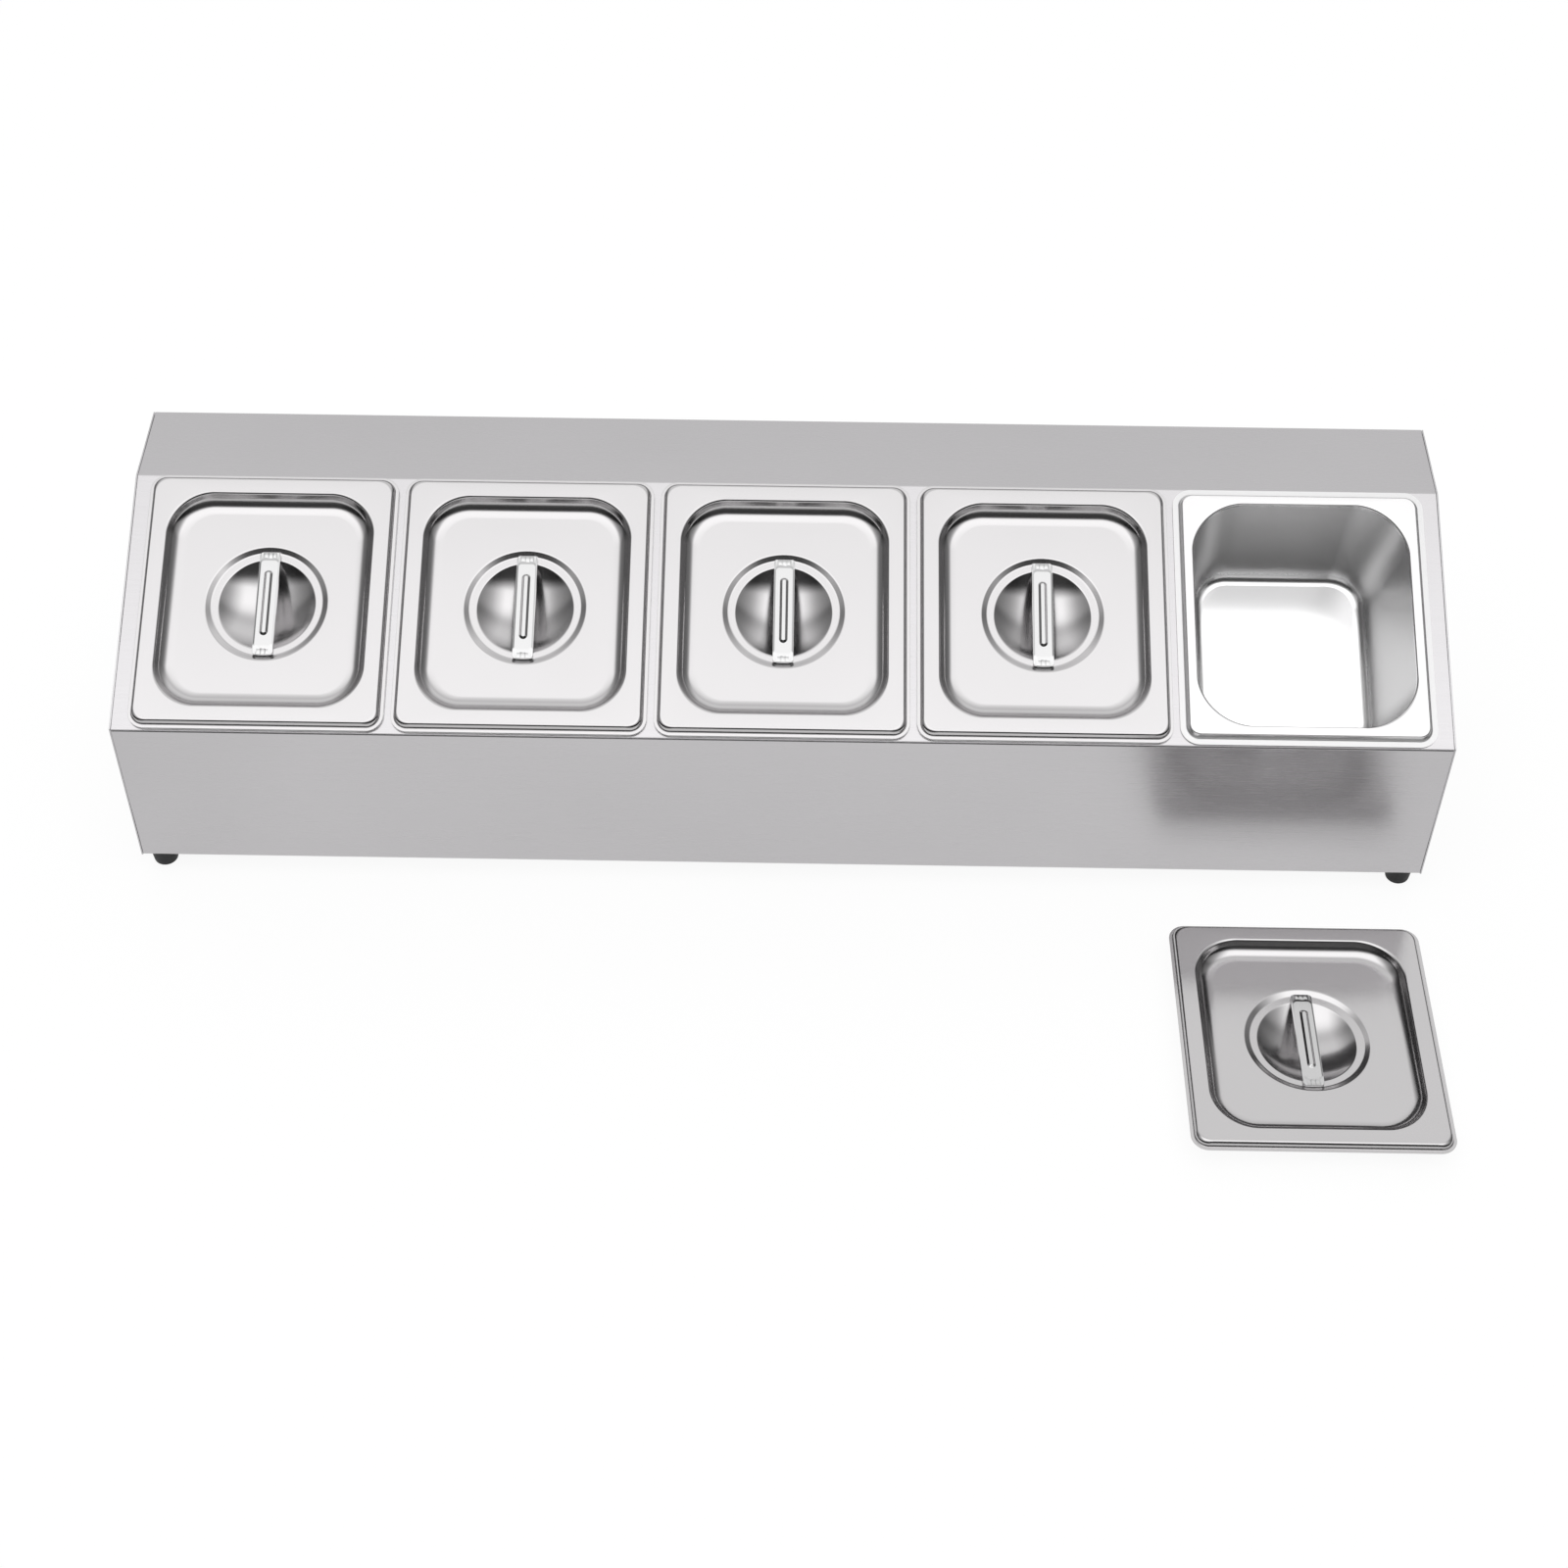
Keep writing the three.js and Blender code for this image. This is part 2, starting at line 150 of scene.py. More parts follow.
class PanSizes(bpy.types.PropertyGroup):
    """Sizes of a pan."""

    width: length("Width", "Width over the lip", 0.162)
    depth_front_to_back: length("Length", "Length over the lip, up the slope", 0.176)
    depth: length("Depth", "Depth from the rim to the floor", 0.088)
    sheet: length("Sheet", "Thickness of the pan's sheet", 0.0008)
    seat_gap: length("Seat gap", "Gap between the lip and the deck", 0.0003)
    lip: length("Lip", "Width of the lip that lies on the deck", 0.004)
    lip_corner: length("Lip corner", "Corner radius of the lip", 0.012)
    rim_rise: length("Rim rise", "Height of the rim above the lip", 0.0042)
    rim_run: length("Rim run", "How far the rim's step leans in", 0.0016)
    rim_width: length("Rim width", "Width of the rim's flat", 0.0059)
    rim_bend: length("Rim bend", "Reach of the bends at the rim's step", 0.0008)
    mouth_corner: length("Mouth corner", "Corner radius of the mouth", 0.036)
    mouth_bend: length("Mouth bend", "Reach of the bend into the walls", 0.0014)
    wall_inset: length("Wall inset", "How far the walls draw in on the way down", 0.012)
    floor_bend: length("Floor bend", "Reach of the bend between walls and floor", 0.0075)


class LidSizes(bpy.types.PropertyGroup):
    """Sizes of a lid."""

    skirt_width: length("Skirt width", "Width over the foot of the skirt", 0.157)
    skirt_length: length("Skirt length", "Length over the foot of the skirt", 0.171)
    skirt_corner: length("Skirt corner", "Corner radius of the skirt's foot", 0.0085)
    skirt_run: length("Skirt run", "How far the skirt leans in up to the plate", 0.0004)
    plate_height: length("Plate height", "Height of the plate above the lip's underside", 0.005)
    plate_bend: length("Plate bend", "Reach of the bend at the plate's edge", 0.003)
    sheet: length("Sheet", "Thickness of the lid's sheet", 0.0008)
    seat_gap: length("Seat gap", "Gap between the lid's lip and the pan's lip", 0.0003)
    lip: length("Lip", "Width of the lip round the skirt", 0.0022)
    lip_bend: length("Lip bend", "Reach of the bend between skirt and lip", 0.0004)
    recess_margin: length("Recess margin", "Plate left round the recess", 0.0102)
    recess_corner: length("Recess corner", "Corner radius of the recess", 0.0305)
    recess_depth: length("Recess depth", "Depth of the recess", 0.0083)
    recess_slope: turn("Recess slope", "Slope of the recess wall", 62.0)
    recess_edge_radius: length("Recess edge radius", "Radius at the top of the recess wall", 0.0022)
    recess_foot_radius: length("Recess foot radius", "Radius at the foot of the recess wall", 0.0085)
    sweep_slope: turn("Sweep slope", "Slope of the sweep between wall and recess floor", 9.7)
    sweep_run: length("Sweep run", "Width of that sweep", 0.0064)
    sweep_radius: length("Sweep radius", "Radius at the foot of that sweep", 0.022)
    ring_radius: length("Ring radius", "Outer radius of the step round the bowl", 0.0394)
    ring_run: length("Ring run", "Width of that step", 0.0036)
    ring_drop: length("Ring drop", "Height of that step", 0.0019)
    ring_bend: length("Ring bend", "Reach of the bends along that step", 0.0006)
    bowl_radius: length("Bowl radius", "Radius of the finger bowl", 0.0312)
    bowl_depth: length("Bowl depth", "Depth of the finger bowl", 0.0102)
    bowl_bend: length("Bowl bend", "Reach of the bend at the bowl's edge", 0.0006)


class StrapSizes(bpy.types.PropertyGroup):
    """Sizes of a strap handle."""

    length_over_all: length("Length", "Length over both ends", 0.0708)
    base_width: length("Base width", "Width at the foot of the flanges", 0.0133)
    pad_width: length("Pad width", "Width of the welded ends", 0.0131)
    top_width: length("Top width", "Width of the flat top", 0.0108)
    corner: length("Corner", "Corner radius of the ends", 0.0022)
    sheet: length("Sheet", "Thickness of the strap's sheet", 0.0007)
    seat_gap: length("Seat gap", "Gap under the strap's ends", 0.0003)
    pad_rise: length("Pad rise", "Height of the welded ends", 0.0019)
    rise: length("Rise", "Height of the flat top", 0.0023)
    pad_length: length("Pad length", "Length of each welded end", 0.0042)
    ramp: length("Ramp", "Length of the ramp from an end up to the top", 0.0014)
    bead_length: length("Bead length", "Length of the raised bead", 0.045)
    bead_width: length("Bead width", "Width of the raised bead", 0.0053)
    bead_height: length("Bead height", "Height of the raised bead", 0.0013)
    bead_run: length("Bead run", "How far the bead's sides lean in", 0.0015)
    weld_inset: length("Weld inset", "Margin round each weld bump", 0.0009)
    weld_height: length("Weld height", "Height of each weld bump", 0.0004)
    bend: length("Bend", "Reach of the strap's bends", 0.0003)


class FootSizes(bpy.types.PropertyGroup):
    """Sizes of a rubber foot."""

    top_radius: length("Top radius", "Radius under the base flange", 0.0095)
    bottom_radius: length("Bottom radius", "Radius on the counter", 0.0078)
    bottom_bend: length("Bottom bend", "Reach of the rounding at the bottom", 0.0016)
    top_bend: length("Top bend", "Reach of the rounding at the top", 0.0005)
    hole_radius: length("Hole radius", "Radius of the hole for the stud", 0.0028)
    hole_depth: length("Hole depth", "Depth of the hole for the stud", 0.011)


class Finishes(bpy.types.PropertyGroup):
    """Colours and gloss of the surfaces."""

    stand_colour: colour("Stand", "Satin steel of the stand", (0.66, 0.647, 0.66, 1.0))
    stand_roughness: share("Stand roughness", "Roughness of the stand", 0.25)
    pan_colour: colour("Pan rims", "Bright steel of the pan rims", (0.8, 0.794, 0.798, 1.0))
    pan_roughness: share("Rim roughness", "Roughness of the pan rims", 0.2)
    # The walls' colour is a touch darker than the rim's: painted shade down the pan's walls
    wall_shade_colour: colour("Wells", "Satin steel of the pan walls", (0.78, 0.777, 0.78, 1.0))
    # The floors' colour is the steel paled almost to white: painted light falling in through the mouth
    floor_painted_light_colour: colour("Pan floors", "Palest steel of the pan floors", (0.96, 0.958, 0.96, 1.0))
    base_roughness: share("Floor roughness", "Roughness of the pan floors", 0.18)
    # Where the floor's painted light and its gloss begin
    painted_light_and_gloss_start: share("Floor edge", "Share of the depth at which the floor's finish begins", 0.9)
    well_roughness: share("Well roughness", "Roughness of the pan walls", 0.36)
    # From this depth the walls also take the darker colour of the painted shade
    satin_and_shade_depth: length("Well edge", "Depth below the rim from which the walls are satin", 0.003)
    lid_colour: colour("Lids", "Bright steel of the lids", (0.64, 0.628, 0.634, 1.0))
    lid_roughness: share("Lid roughness", "Roughness of the lids", 0.16)
    strap_colour: colour("Straps", "Polished steel of the strap handles", (0.67, 0.668, 0.67, 1.0))
    strap_roughness: share("Strap roughness", "Roughness of the strap handles", 0.14)
    rubber_colour: colour("Rubber", "Black rubber of the feet", (0.018, 0.019, 0.021, 1.0))
    rubber_roughness: share("Rubber roughness", "Roughness of the feet", 0.55)
    zinc_colour: colour("Zinc", "Plating of the studs, washers and nuts", (0.50, 0.51, 0.53, 1.0))
    zinc_roughness: share("Zinc roughness", "Roughness of the plating", 0.36)


class StageSettings(bpy.types.PropertyGroup):
    """Camera, floor and light."""

    camera_place: spot("Camera", "Where the camera stands", (0.0125, -1.13665, 1.3233))
    camera_pitch: turn("Pitch", "How far the camera looks down", 47.242)
    camera_heading: turn("Heading", "How far the camera looks to the right", -0.538)
    camera_roll: turn("Roll", "How far the camera leans", -0.469)
    lens: bpy.props.FloatProperty(
        name="Lens", description="Focal length on a 36 mm sensor", default=59.9, unit="CAMERA"
    )
    floor_size: length("Floor", "Width of the floor", 12.0)
    floor_colour: colour("Floor colour", "Pale floor", (0.9, 0.9, 0.9, 1.0))
    floor_white: level("Floor white", "Level of the floor in the camera's view", 1.06)
    # Painted light: how brightly the floor glows in reflections, under the stand and away from it
    floor_in_metal: level("Floor in metal", "Level of the floor in reflections, under the stand", 0.94)
    far_in_metal: level("Far floor in metal", "Level of the floor in reflections, away from the stand", 0.62)
    near_reach: length("Near reach", "How far from the middle that level begins to fall", 0.35)
    far_reach: length("Far reach", "How far from the middle it has fallen", 0.8)
    floor_evenness: share("Floor evenness", "How little the floor shows of shadows", 0.86)
    metal_evenness: share("Evenness in metal", "How little reflections of the floor show of shadows", 0.6)
    lamp_place: spot("Lamp", "Where the softbox hangs", (-0.8, -0.9, 2.35))
    lamp_size: length("Lamp size", "Width of the softbox", 0.95)
    lamp_power: level("Lamp power", "Power of the softbox in watts", 2.0)


# Modelling steps


class Ring(NamedTuple):
    """A level outline about the Z axis: a rounded rectangle, or a circle where its three sizes agree."""

    half_x: float
    half_y: float
    corner: float
    z: float

    def inside(self, margin, z):
        """The outline that runs a margin further in, at another height."""
        return Ring(self.half_x - margin, self.half_y - margin, self.corner - margin, z)

    def holds(self, point):
        """Whether a point lies on the outline."""
        if abs(point.z - self.z) > TOUCH:
            return False
        over_x = abs(point.x) - self.half_x + self.corner
        over_y = abs(point.y) - self.half_y + self.corner
        if over_x > 0 and over_y > 0:
            return abs(math.hypot(over_x, over_y) - self.corner) < TOUCH
        return abs(max(over_x, over_y) - self.corner) < TOUCH


def circle(radius, z):
    """A round outline."""
    return Ring(radius, radius, radius, z)


def leave_all():
    """Leaves edit mode with nothing selected, so that the next step acts on its own piece."""
    if bpy.context.mode != "OBJECT":
        bpy.ops.object.mode_set(mode="OBJECT")
    bpy.ops.object.select_all(action="DESELECT")


def only(piece):
    """Makes one piece the selected and active one."""
    leave_all()
    piece.select_set(True)
    bpy.context.view_layer.objects.active = piece


def begin(name):
    """Opens a new, empty piece in edit mode."""
    leave_all()
    bpy.ops.mesh.primitive_plane_add(enter_editmode=True)
    bpy.ops.mesh.delete(type="VERT")
    piece = bpy.context.object
    piece.name = name
    piece.data.name = name
    return piece


def select_points(piece, test):
    """Selects the points that pass a test, with the edges and faces between them."""
    bpy.ops.mesh.select_mode(type="VERT")
    bpy.ops.mesh.select_all(action="DESELECT")
    mesh = bmesh.from_edit_mesh(piece.data)
    for point in mesh.verts:
        point.select = test(point.co)
    mesh.select_flush(True)
    bmesh.update_edit_mesh(piece.data)


def select_rings(piece, *rings):
    """Selects whole outlines."""
    select_points(piece, lambda point: any(ring.holds(point) for ring in rings))


def draw_ring(ring):
    """Adds an outline to the piece in edit mode: a plane with rounded corners, or a circle."""
    if ring.half_x == ring.half_y == ring.corner:
        half_step = math.pi / RING_POINTS
        bpy.ops.mesh.primitive_circle_add(
            vertices=RING_POINTS, radius=ring.half_x, location=(0, 0, ring.z), rotation=(0, 0, half_step)
        )
        return
    bpy.ops.mesh.primitive_plane_add(size=1, location=(0, 0, ring.z))
    size = (2 * ring.half_x, 2 * ring.half_y, 1)
    bpy.ops.transform.resize(value=size, center_override=(0, 0, ring.z))
    bpy.ops.mesh.bevel(affect="VERTICES", offset=ring.corner, segments=CORNER_STEPS)
    bpy.ops.mesh.delete(type="ONLY_FACE")


def press(piece, rings):
    """Draws outlines in order, bridges each to the one before it from above, and lowers it into place."""
    draw_ring(rings[0])
    for before, ring in zip(rings, rings[1:]):
        raised = ring._replace(z=before.z + BRIDGE_REACH)
        draw_ring(raised)
        select_rings(piece, before, raised)
        bpy.ops.mesh.bridge_edge_loops()
        select_rings(piece, raised)
        bpy.ops.transform.translate(value=(0, 0, ring.z - raised.z))


def fill(piece, ring):
    """Closes an outline with a face."""
    select_rings(piece, ring)
    bpy.ops.mesh.edge_face_add()


def round_fold(piece, ring, reach, steps=BEND_STEPS):
    """Rounds the fold along an outline."""
    select_rings(piece, ring)
    bpy.ops.mesh.bevel(affect="EDGES", offset=reach, segments=steps)


def turn_faces_out():
    """Turns all faces of the piece in edit mode the same way round, outwards where it is closed."""
    bpy.ops.mesh.select_all(action="SELECT")
    bpy.ops.mesh.normals_make_consistent(inside=False)


def face_towards(piece, direction):
    """Turns all faces the same way round, so that on the whole they look in a direction."""
    turn_faces_out()
    mesh = bmesh.from_edit_mesh(piece.data)
    looking = sum((face.normal * face.calc_area() for face in mesh.faces), Vector())
    if looking.dot(direction) < 0:
        bpy.ops.mesh.flip_normals()


def apply_modifier(piece, kind, **settings):
    """Adds a modifier, sets it and applies it."""
    only(piece)
    modifier = piece.modifiers.new(kind.title(), kind)
    for name, value in settings.items():
        setattr(modifier, name, value)
    bpy.ops.object.modifier_apply(modifier=modifier.name)


def thicken(piece, sheet):
    """Gives a drawn skin the thickness of its sheet, away from the side that it faces."""
    apply_modifier(piece, "SOLIDIFY", thickness=sheet, offset=-1, use_even_offset=True)


def ease_edges(piece, width):
    """Breaks the cut edges."""
    apply_modifier(
        piece, "BEVEL", width=width, segments=EASE_STEPS, limit_method="ANGLE", angle_limit=SHARP_ANGLE
    )


def cut(piece, cutter):
    """Cuts a closed cutter out of a piece and takes the cutter away."""
    apply_modifier(piece, "BOOLEAN", operation="DIFFERENCE", solver="EXACT", object=cutter)
    only(cutter)
    bpy.ops.object.delete()


def smooth(piece):
    """Shades bends as round and flats as flat."""
    only(piece)
    bpy.ops.object.shade_smooth_by_angle(angle=SHARP_ANGLE)
    apply_modifier(piece, "WEIGHTED_NORMAL", keep_sharp=True)


def settle(piece, place):
    """Moves a piece to its place and leaves that place in its mesh."""
    only(piece)
    piece.matrix_world = place
    bpy.ops.object.transform_apply(location=True, rotation=True, scale=True)


def copy_of(piece, name):
    """A copy with a mesh of its own."""
    only(piece)
    bpy.ops.object.duplicate(linked=False)
    made = bpy.context.object
    made.name = name
    made.data.name = name
    return made


def dress(piece, material, body, slot, *nodes):
    """Gives a piece its finish and ties it to the frame."""
    piece.data.materials.clear()
    piece.data.materials.append(material)
    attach(piece, body)
    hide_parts(*nodes)


def spread(model, name, places, material, body, slot, node):
    """Sets dressed copies of a modelled piece at their places and takes the model away."""
    for mark, place in places.items():
        piece = copy_of(model, name.format(mark))
        settle(piece, place)
        smooth(piece)
        dress(piece, material, body.format(mark), slot, node.format(mark))
    only(model)
    bpy.ops.object.delete()


def fold_strip(name, width, corners, bends, outside):
    """A strip across the stand, drawn fold by fold through corners (y, z), with rounded folds."""
    piece = begin(name)
    first = corners[0]
    bpy.ops.mesh.primitive_plane_add(size=width, location=(0, width / 2, 0))
    select_points(piece, lambda point: point.y > width / 2)
    bpy.ops.mesh.delete(type="VERT")
    bpy.ops.mesh.select_all(action="SELECT")
    bpy.ops.transform.translate(value=(0, *first))
    for before, corner in zip(corners, corners[1:]):
        select_points(piece, lambda point: (Vector(point.yz) - Vector(before)).length < TOUCH)
        step = (0, corner[0] - before[0], corner[1] - before[1])
        bpy.ops.mesh.extrude_edges_move(TRANSFORM_OT_translate={"value": step})
    for before, corner, after, bend in zip(corners, corners[1:], corners[2:], bends):
        incoming = Vector(corner) - Vector(before)
        outgoing = Vector(after) - Vector(corner)
        reach = bend * math.tan(incoming.angle(outgoing) / 2)
        select_points(piece, lambda point: (Vector(point.yz) - Vector(corner)).length < TOUCH)
        bpy.ops.mesh.bevel(affect="EDGES", offset=reach, segments=BEND_STEPS)
    face_towards(piece, outside)
    return piece


def prism(name, ring, reach):
    """A closed cutter through a level outline, reaching up and down from it."""
    piece = begin(name)
    low = ring._replace(z=ring.z - reach)
    high = ring._replace(z=ring.z + reach)
    press(piece, [low, high])
    fill(piece, low)
    fill(piece, high)
    turn_faces_out()
    return piece


# Where things are


def deck_front_z(sheet):
    """Height of the deck's face at its front edge."""
    return DECK_LOW.z + sheet / math.cos(DECK_TILT)


def deck_length(sheet):
    """Length of the deck up its slope, from the front edge to the crease."""
    return (DECK_HIGH.z - deck_front_z(sheet)) / math.sin(DECK_TILT)


def deck_place(number, height, sheet):
    """The frame of a pan on the deck: Z stands square on the slope, a height above its face."""
    low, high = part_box(f"pan_{number}")
    front = Matrix.Translation(((low.x + high.x) / 2, DECK_LOW.y, deck_front_z(sheet)))
    slope = Matrix.Rotation(DECK_TILT, 4, "X")
    return front @ slope @ Matrix.Translation((0, deck_length(sheet) / 2, height))


def lid_places(scene):
    """The frames of the lids: on their pans, and for the last one where it lies loose on the counter."""
    stand, pan, lid = scene.holder_stand, scene.holder_pan, scene.holder_lid
    height = pan.seat_gap + pan.sheet + lid.seat_gap
    places = {number: deck_place(number, height, stand.sheet) for number in PAN_NUMBERS}
    loose = PAN_NUMBERS[-1]
    low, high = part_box(f"lid_{loose}")
    middle = (low + high) / 2
    places[loose] = Matrix.Translation((middle.x, middle.y, high.z - lid.plate_height))
    return places


def foot_centre(place):
    """The middle of a foot on the counter."""
    low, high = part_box(f"foot_{place}")
    return Vector(((low.x + high.x) / 2, (low.y + high.y) / 2, low.z))


# Materials

# Patterns of the finishes: grains to the metre along X, Y and Z, and the noise's detail
SHEET_CLOUDS = (9.0, 9.0, 9.0)
DRAWN_GRAIN = (30.0, 2600.0, 2600.0)
PRESSED_GRAIN = (900.0, 900.0, 900.0)
RUBBER_CLOUDS = (160.0, 160.0, 160.0)
RUBBER_PITS = (2600.0, 2600.0, 2600.0)
ZINC_PATCHES = (420.0, 420.0, 420.0)
PLAIN_DETAIL = 2.0
FINE_DETAIL = 3.0
# How much darker a pattern makes a colour at most
SHEET_TINT = 0.05
RUBBER_TINT = 0.35
ZINC_TINT = 0.25
# The part of a noise's range that changes the gloss, and the shares of the roughness at its two ends
SHEET_NOISE = (0.25, 0.75)
PATCH_NOISE = (0.3, 0.7)
EVEN_GLOSS = (0.85, 1.15)
PAN_GLOSS = (0.9, 1.1)
ZINC_GLOSS = (0.8, 1.25)
# Strength of a pattern's relief, and its height in metres
DRAWN_RELIEF = 0.07
PRESSED_RELIEF = 0.04
PAN_RELIEF = 0.05
PIT_RELIEF = 0.35
GRAIN_HEIGHT = 0.00002
PIT_HEIGHT = 0.0001


class Wiring:
    """A node tree in the making."""

    def __init__(self, tree):
        self.tree = tree
        tree.nodes.clear()

    def add(self, kind, **settings):
        """Adds a node with its settings."""
        made = self.tree.nodes.new(kind)
        for name, value in settings.items():
            setattr(made, name, value)
        return made

    def feed(self, socket, value):
        """Joins a node's output to a socket, or sets the socket to a plain value."""
        if isinstance(value, bpy.types.NodeSocket):
            self.tree.links.new(value, socket)
        else:
            socket.default_value = value

    def math(self, operation, first, second=0.0):
        """The result of an operation on two values."""
        made = self.add("ShaderNodeMath", operation=operation)
        self.feed(made.inputs[0], first)
        self.feed(made.inputs[1], second)
        return made.outputs["Value"]

    def ranged(self, value, low, high, to_low, to_high):
        """A value carried over from one range to another."""
        made = self.add("ShaderNodeMapRange")
        for socket, number in zip(made.inputs, (value, low, high, to_low, to_high)):
            self.feed(socket, number)
        return made.outputs["Result"]

    def varied(self, roughness, noise, used, shares):
        """A roughness that varies with a part of a noise's range, between two shares of itself."""
        low, high = (roughness * part for part in shares)
        return self.ranged(noise, *used, low, high)

    def noise(self, stretch, detail):
        """Noise over the piece, with so many grains to the metre along each axis."""
        place = self.add("ShaderNodeTexCoord").outputs["Object"]
        mapping = self.add("ShaderNodeMapping")
        self.feed(mapping.inputs["Vector"], place)
        mapping.inputs["Scale"].default_value = stretch
        made = self.add("ShaderNodeTexNoise")
        self.feed(made.inputs["Vector"], mapping.outputs["Vector"])
        made.inputs["Scale"].default_value = 1.0
        made.inputs["Detail"].default_value = detail
        return made.outputs["Fac"]

    def mixed(self, amount, first, second):
        """A colour between two others."""
        mix = self.add("ShaderNodeMix", data_type="RGBA")
        self.feed(mix.inputs["Factor"], amount)
        self.feed(mix.inputs["A"], first)
        self.feed(mix.inputs["B"], second)
        return mix.outputs["Result"]

    def tinted(self, plain, depth, amount):
        """A colour that darkens by a depth where an amount is low."""
        dark = [part * (1 - depth) for part in plain[:3]] + [1.0]
        return self.mixed(amount, dark, plain)

    def bump(self, height, strength, distance):
        """Surface relief from a height."""
        made = self.add("ShaderNodeBump")
        made.inputs["Strength"].default_value = strength
        made.inputs["Distance"].default_value = distance
        self.feed(made.inputs["Height"], height)
        return made.outputs["Normal"]

    def depth_below(self, place):
        """How far a point lies below the level plane of a frame."""
        upright = place.to_3x3().col[2]
        along = self.add("ShaderNodeVectorMath", operation="DOT_PRODUCT")
        self.feed(along.inputs[0], self.add("ShaderNodeTexCoord").outputs["Object"])
        along.inputs[1].default_value = upright
        return self.math("SUBTRACT", upright.dot(place.translation), along.outputs["Value"])

    def surface(self, shader):
        """Sends a shader to the material's surface."""
        output = self.add("ShaderNodeOutputMaterial")
        self.feed(output.inputs["Surface"], shader)


def new_material(name):
    """An empty material and its wiring."""
    material = bpy.data.materials.new(name)
    material.use_nodes = True
    return material, Wiring(material.node_tree)


def shaded(name, metallic):
    """A material with one shader for its surface, and its wiring."""
    material, wire = new_material(name)
    shader = wire.add("ShaderNodeBsdfPrincipled")
    shader.inputs["Metallic"].default_value = metallic
    wire.surface(shader.outputs["BSDF"])
    return material, wire, shader.inputs


def steel(name, base, roughness, grain, relief):
    """Stainless sheet: a fine grain in gloss and relief, with slow clouds in tone."""
    material, wire, sockets = shaded(name, 1.0)
    clouds = wire.noise(SHEET_CLOUDS, PLAIN_DETAIL)
    fine = wire.noise(grain, FINE_DETAIL)
    wire.feed(sockets["Base Color"], wire.tinted(base, SHEET_TINT, clouds))
    wire.feed(sockets["Roughness"], wire.varied(roughness, fine, SHEET_NOISE, EVEN_GLOSS))
    wire.feed(sockets["Normal"], wire.bump(fine, relief, GRAIN_HEIGHT))
    return material


def rubber(name, base, roughness):
    """Moulded rubber with a matt, slightly pitted skin."""
    material, wire, sockets = shaded(name, 0.0)
    clouds = wire.noise(RUBBER_CLOUDS, FINE_DETAIL)
    pits = wire.noise(RUBBER_PITS, PLAIN_DETAIL)
    wire.feed(sockets["Base Color"], wire.tinted(base, RUBBER_TINT, clouds))
    wire.feed(sockets["Roughness"], wire.varied(roughness, clouds, PATCH_NOISE, EVEN_GLOSS))
    wire.feed(sockets["Normal"], wire.bump(pits, PIT_RELIEF, PIT_HEIGHT))
    return material


def zinc(name, base, roughness):
    """Zinc plating with cloudy patches."""
    material, wire, sockets = shaded(name, 1.0)
    patches = wire.noise(ZINC_PATCHES, FINE_DETAIL)
    wire.feed(sockets["Base Color"], wire.tinted(base, ZINC_TINT, patches))
    wire.feed(sockets["Roughness"], wire.varied(roughness, patches, PATCH_NOISE, ZINC_GLOSS))
    return material


def pan_steel(finish, pan, rim):
    """Bright steel round a pan's rim, satin down its walls and a touch darker there as painted shade, and
    glossiest on its floor, whose colour is paled almost to white as painted light.
    """
    material, wire, sockets = shaded("pan_bright_steel", 1.0)
    fine = wire.noise(PRESSED_GRAIN, FINE_DETAIL)
    depth = wire.depth_below(rim)
    # Painted shade: down the walls the colour darkens a touch, as the steel turns satin
    wall_shade_and_satin = wire.ranged(depth, finish.satin_and_shade_depth / 2, finish.satin_and_shade_depth, 0.0, 1.0)
    # Painted light: on the floor the colour pales almost to white, as the steel turns glossier
    floor_light_and_gloss = wire.ranged(depth, finish.painted_light_and_gloss_start * pan.depth, pan.depth, 0.0, 1.0)
    rim_to_wall_tone = wire.mixed(wall_shade_and_satin, finish.pan_colour, finish.wall_shade_colour)
    wire.feed(sockets["Base Color"], wire.mixed(floor_light_and_gloss, rim_to_wall_tone, finish.floor_painted_light_colour))
    wall_roughness = wire.ranged(wall_shade_and_satin, 0.0, 1.0, finish.pan_roughness, finish.well_roughness)
    roughness = wire.ranged(floor_light_and_gloss, 0.0, 1.0, wall_roughness, finish.base_roughness)
    grain = wire.ranged(fine, *SHEET_NOISE, *PAN_GLOSS)
    wire.feed(sockets["Roughness"], wire.math("MULTIPLY", roughness, grain))
    wire.feed(sockets["Normal"], wire.bump(fine, PAN_RELIEF, GRAIN_HEIGHT))
    return material


def stand_steel(finish):
    """Satin steel, its grain drawn along the stand, made once and shared by the panels."""
    name = "stand_satin_steel"
    made = bpy.data.materials.get(name)
    return made or steel(name, finish.stand_colour, finish.stand_roughness, DRAWN_GRAIN, DRAWN_RELIEF)


# Operators


def finish_stand_sheet(piece, node, scene, holes=()):
    """Thickens a folded sheet, cuts its holes (outline, place), eases its edges and dresses it."""
    sizes = scene.holder_stand
    thicken(piece, sizes.sheet)
    for outline, place in holes:
        cutter = prism("hole_cutter", outline, CUT_REACH)
        settle(cutter, place)
        cut(piece, cutter)
    ease_edges(piece, sizes.edge_break)
    smooth(piece)
    dress(piece, stand_steel(scene.holder_finish), "stand", "stand_steel", node)


def fold_panel(node, corners, outside, scene):
    """Folds an upright panel through corners (y, z) and drills its base flange for the feet's studs."""
    sizes = scene.holder_stand
    low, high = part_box(node)
    bends = (sizes.bend, sizes.bend)
    piece = fold_strip(f"{node}_sheet", high.x - low.x, corners, bends, outside)
    outline = circle(sizes.stud_hole, 0.0)
    centres = [foot_centre(place) for place in FOOT_PLACES]
    holes = [(outline, Matrix.Translation((centre.x, centre.y, low.z))) for centre in centres]
    finish_stand_sheet(piece, node, scene, holes)


